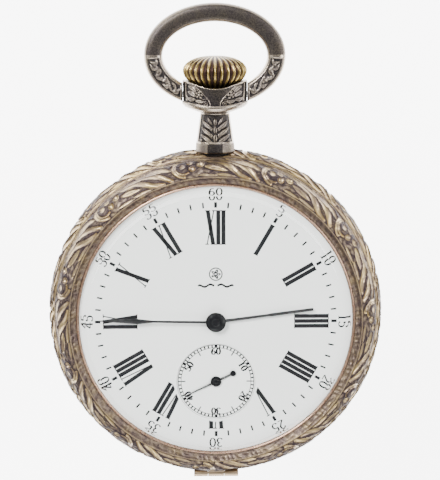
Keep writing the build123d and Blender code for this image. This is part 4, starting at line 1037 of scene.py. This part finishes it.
def digit_lines(digit):
    """The pen lines of a digit in a box 0.6 wide and 1 high."""
    if digit == "0":
        return [arc_points(0.3, 0.5, 0.23, 0.46, 90, 450, 34)]
    if digit == "1":
        return [along([(0.31, 0.96), (0.31, 0.04)], 6), along([(0.31, 0.94), (0.14, 0.84)], 4),
                along([(0.16, 0.03), (0.46, 0.03)], 4)]
    if digit == "2":
        top = arc_points(0.29, 0.70, 0.21, 0.25, 165, -25, 18)
        neck = smooth_line([(0.47, 0.58), (0.3, 0.33), (0.08, 0.06)], 9)
        return [np.vstack([top, neck]), along([(0.08, 0.05), (0.54, 0.05)], 5)]
    if digit == "3":
        return [arc_points(0.28, 0.74, 0.19, 0.21, 150, -90, 18),
                arc_points(0.28, 0.29, 0.23, 0.25, 90, -155, 22)]
    if digit == "4":
        return [along([(0.42, 0.96), (0.06, 0.30)], 8), along([(0.05, 0.30), (0.57, 0.30)], 5),
                along([(0.42, 0.96), (0.42, 0.03)], 8)]
    if digit == "5":
        return [along([(0.14, 0.93), (0.5, 0.93)], 5), along([(0.15, 0.93), (0.12, 0.55)], 5),
                arc_points(0.28, 0.31, 0.24, 0.28, 130, -150, 24)]
    bowl = arc_points(0.3, 0.29, 0.21, 0.26, 90, 450, 28)
    return [bowl, smooth_line([(0.48, 0.93), (0.24, 0.86), (0.1, 0.55), (0.09, 0.30)], 16)]


def number(value, angle, radius, height, thin, thick, z, centre=(0.0, 0.0)):
    """A number written across its own radius, feet towards the centre."""
    parts = []
    text = str(value)
    for k, digit in enumerate(text):
        offset = (k - len(text) / 2) * DIGIT_ADVANCE + 0.02
        for line in digit_lines(digit):
            shifted = (line + (offset, 0.0)) * (DIGIT_STRETCH, 1.0)
            parts.append(pen(shifted, thin, thick, angle, radius, z, height, centre))
    return parts


def circle(radius, width, z, centre, count=160):
    """A printed ring as two half rings."""
    parts = []
    for start in (0, 180):
        a = np.radians(np.linspace(start, start + 180, count // 2))
        unit = np.stack([np.cos(a), np.sin(a)], -1)
        parts.append(strip(unit * (radius + width / 2) + centre, unit * (radius - width / 2) + centre, z))
    return parts


def tick(angle, low, high, width, z, centre=(0.0, 0.0)):
    """A printed mark along a radius."""
    sides = (placed([(x, 0), (x, high - low)], angle, low, centre) for x in (-width / 2, width / 2))
    return strip(*sides, z)


def printed(name, parts):
    """A piece of dial printing."""
    piece(merged(name, parts), "case", "print", "enamel")


def print_dial():
    """Hour numerals, minute marks and minute numbers."""
    for hour in range(1, 13):
        printed(f"numeral_{hour:02d}", roman(hour))
    marks = [tick(6 * k, MARK_LOW, MARK_HIGH, 0.26 if k % 5 else 0.44, DIAL_Z) for k in range(60)]
    printed("minute_marks", marks)
    numbers = []
    for k in range(1, 13):
        numbers += number(5 * k, 30 * k, MINUTE_NUMBERS_R, MINUTE_NUMBERS_H, 0.12, 0.27, DIAL_Z)
    printed("minute_numbers", numbers)


def print_seconds():
    """The seconds dial's track and numbers."""
    z, centre = SECONDS_DIAL_Z, (0.0, SECONDS_Y)
    track = circle(TRACK_OUT, 0.10, z, centre) + circle(TRACK_IN, 0.08, z, centre)
    for k in range(60):
        low, high, width = TRACK_IN, TRACK_OUT, 0.22
        if k % 10 == 0:
            low, high, width = 5.5, 6.04, 0.44
        elif k % 5 == 0:
            low, width = 4.85, 0.17
        track.append(tick(6 * k, low, high, width, z, centre))
    printed("seconds_track", track)
    numbers = []
    for k, value in enumerate((60, 10, 20, 30, 40, 50)):
        numbers += number(value, 60 * k, SECONDS_NUMBERS_R, SECONDS_NUMBERS_H, 0.11, 0.30, z, centre)
    printed("seconds_numbers", numbers)


def print_rosette():
    """A ring with five petals inside, over two wavy strokes."""
    parts = circle(0.98, 0.17, DIAL_Z, (0.0, ROSETTE_Y), 60)
    for k in range(5):
        turn = radians(72 * k)
        spin = np.array([[cos(turn), sin(turn)], [-sin(turn), cos(turn)]])
        for side in (-1, 1):
            line = smooth_line([(0.14, 0.0), (0.42, side * 0.14), (0.76, 0.0)], 9)
            parts.append(pen(line @ spin, 0.12, 0.2, 0, ROSETTE_Y, DIAL_Z))
    scroll = smooth_line([(0.25, 0.0), (0.9, 0.22), (1.7, -0.18), (2.5, 0.1), (2.75, -0.05)], 24)
    for side in (-1, 1):
        parts.append(pen(scroll * (side, 1.0), 0.34, 0.20, 0, FLOURISH_Y, DIAL_Z))
    printed("dial_rosette", parts)


print_dial()
print_seconds()
print_rosette()


# ---- hands
MINUTE_ANGLE, HOUR_ANGLE, SECONDS_ANGLE = 271.0, 82.6, 244.0  # clockwise from 12
MINUTE_LEVELS = (12.34, 12.40, 12.50)  # heights of a hand's underside, edge and ridge
HOUR_LEVELS = (12.0, 12.05, 12.15)
SECONDS_LEVELS = (11.36, 11.41, 11.48)
SECONDS_TAIL = -3.0
RIDGE_FULL = 0.14  # half width from which a hand's ridge has its full height


def blade(angle, outline, low, edge, ridge, centre=(0.0, 0.0)):
    """A hand with a ridge along its middle, from (distance, half width), turned clockwise from 12."""
    rows = []
    for d, w in along(outline, 40):
        lift = edge + (ridge - edge) * min(1.0, w / RIDGE_FULL)
        rows.append([(-w, d, low), (w, d, low), (w, d, edge), (0, d, lift), (-w, d, edge)])
    rows = np.array(rows)
    rows[..., :2] = placed(rows[..., :2].reshape(-1, 2), angle, 0.0, centre).reshape(-1, 5, 2)
    return capped(rows)


def boss(profile, centre=(0.0, 0.0), sides=72):
    """A turned solid from (r, z) points, closed flat at its first and last height."""
    rows = len(profile)
    points = turned_points(profile, round_angles(sides)) + (*centre, 0.0)
    faces = [list(f) for f in grid_faces(sides, rows, True, False)]
    low = sides * rows
    for k in range(sides):
        m = (k + 1) % sides
        faces.append([k * rows, m * rows, low])
        faces.append([m * rows + rows - 1, k * rows + rows - 1, low + 1])
    middles = [(*centre, profile[0][1]), (*centre, profile[-1][1])]
    return np.vstack([points.reshape(-1, 3), middles]), faces


def make_hands():
    """The three hands, black with a polished ridge."""
    outline = [(0.3, 0.20), (9.8, 0.16), (12.3, 0.42), (15.5, 0.25), (18.9, 0.03)]
    hub = [(1.52, 12.30), (1.58, 12.36), (1.56, 12.46), (1.42, 12.58), (1.1, 12.66), (0.62, 12.70),
           (0.60, 12.78), (0.45, 12.82)]
    obj = merged("minute_hand_blade", [blade(MINUTE_ANGLE, outline, *MINUTE_LEVELS), boss(hub)])
    piece(obj, "minutes", "hands", "hand_steel", "minute_hand")
    outline = [(0.3, 0.24), (8.4, 0.20), (8.65, 0.29), (8.9, 0.25), (15.1, 0.23), (15.4, 0.20)]
    hub = [(1.3, 12.0), (1.36, 12.05), (1.3, 12.13)]
    obj = merged("hour_hand_blade", [blade(HOUR_ANGLE, outline, *HOUR_LEVELS), boss(hub)])
    piece(obj, "hours", "hands", "hand_steel", "hour_hand")
    centre = (0.0, SECONDS_Y)
    outline = [(SECONDS_TAIL, 0.14), (0.0, 0.20), (5.5, 0.05)]
    hub = [(0.82, 11.36), (0.86, 11.42), (0.8, 11.52), (0.45, 11.56), (0.3, 11.62)]
    knob = [(0.44, 11.36), (0.48, 11.40), (0.4, 11.47)]
    tail = placed([(0.0, SECONDS_TAIL)], SECONDS_ANGLE, 0.0, centre)[0]
    hand = blade(SECONDS_ANGLE, outline, *SECONDS_LEVELS, centre)
    obj = merged("seconds_hand_blade", [hand, boss(hub, centre), boss(knob, tail, 40)])
    piece(obj, "seconds", "hands", "hand_steel", "seconds_hand")


make_hands()


# ---- finish of the CAD nodes
FINISH = {
    "glass": ["crystal"],
    "enamel": ["dial", "seconds_dial"],
    "silver_plain": ["cuvette", "bow_pivots"],
    "nickel": ["barrel_bridge", "train_bridge", "balance_cock", "pallet_cock"],
    "gilt": ["main_plate", "barrel", "barrel_cover", "centre_wheel", "third_wheel", "fourth_wheel",
             "hour_wheel", "minute_wheel", "balance_wheel"],
    "blued": ["bridge_screws", "case_screws", "ratchet_screw", "crown_wheel_screw", "click_screw",
              "hairspring"],
    "ruby": ["bridge_jewels", "plate_jewels", "balance_jewel", "pallet_stones", "endstone"],
    "copper": ["dial_feet"],
}


def finish_nodes():
    """Gives every CAD node that stays its material; the rest are polished steel."""
    named = {n: material for material, nodes in FINISH.items() for n in nodes}
    for name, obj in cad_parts.items():
        dress(obj, named.get(name, "steel"))


finish_nodes()


# ---- camera, light, floor
CAMERA_PLACE = (-1.96, 52.42, 207.23)
CAMERA_BACK = (-0.00963, 0.20822, 0.97803)  # from the watch towards the camera
CAMERA_UP = (0.00484, 0.97808, -0.20818)
CAMERA_LENS = 96.4
CAMERA_SHIFT = (0.0095, 0.028)
SENSOR_WIDTH = 36.0
FLOOR_Z = -0.05  # metres, low enough for the back cover to swing open above the floor
LIGHTS = (  # name, place and size in metres, power
    ("key", (-0.26, 0.30, 0.42), 0.22, 7.0),
    ("fill", (0.40, 0.12, 0.40), 0.35, 3.0),
    ("rim", (0.05, -0.45, 0.35), 0.35, 2.2),
)
SKY = [(0.05, (0.18, 0.18, 0.19)), (0.42, (0.55, 0.55, 0.56)), (0.62, (1.0, 1.0, 1.0)),
       (0.84, (0.95, 0.95, 0.95)), (0.95, (0.10, 0.10, 0.11))]


def set_stage():
    """Floor, lights and world."""
    bpy.ops.mesh.primitive_plane_add(size=3.0, location=(0, 0, FLOOR_Z))
    floor = bpy.context.object
    floor.name = "floor"
    paper = [(0.3, (0.90, 0.90, 0.90)), (0.7, (0.93, 0.93, 0.93))]
    glow = {"Roughness": 0.7, "Emission Color": (1, 1, 1, 1), "Emission Strength": 5.5}
    floor.data.materials.append(clouded("floor_paper", (0.2, 3), paper, glow))
    for name, place, size, power in LIGHTS:
        light = bpy.data.lights.new(name, "AREA")
        light.size = size
        light.energy = power
        lamp = bpy.data.objects.new(name, light)
        lamp.location = place
        lamp.rotation_euler = Vector(place).to_track_quat("Z", "Y").to_euler()
        bpy.context.scene.collection.objects.link(lamp)
    world = bpy.data.worlds.new("studio")
    bpy.context.scene.world = world
    world.use_nodes = True
    tree = world.node_tree
    way = node(tree, "ShaderNodeTexCoord").outputs["Generated"]
    rise = node(tree, "ShaderNodeSeparateXYZ", {"Vector": way}).outputs["Z"]
    connect(tree, tree.nodes["Background"], {"Color": ramp(tree, rise, SKY), "Strength": 1.2})


def set_camera():
    """The camera at the watch's portrait angle."""
    data = bpy.data.cameras.new("camera")
    data.lens = CAMERA_LENS
    data.sensor_width = SENSOR_WIDTH
    data.shift_x, data.shift_y = CAMERA_SHIFT
    data.clip_start = 0.01
    camera = bpy.data.objects.new("camera", data)
    back, up = Vector(CAMERA_BACK).normalized(), Vector(CAMERA_UP)
    right = up.cross(back).normalized()
    turn = Matrix((right, back.cross(right), back)).transposed().to_4x4()
    camera.matrix_world = Matrix.Translation(Vector(CAMERA_PLACE) * MM) @ turn
    bpy.context.scene.collection.objects.link(camera)
    bpy.context.scene.camera = camera


set_stage()
set_camera()
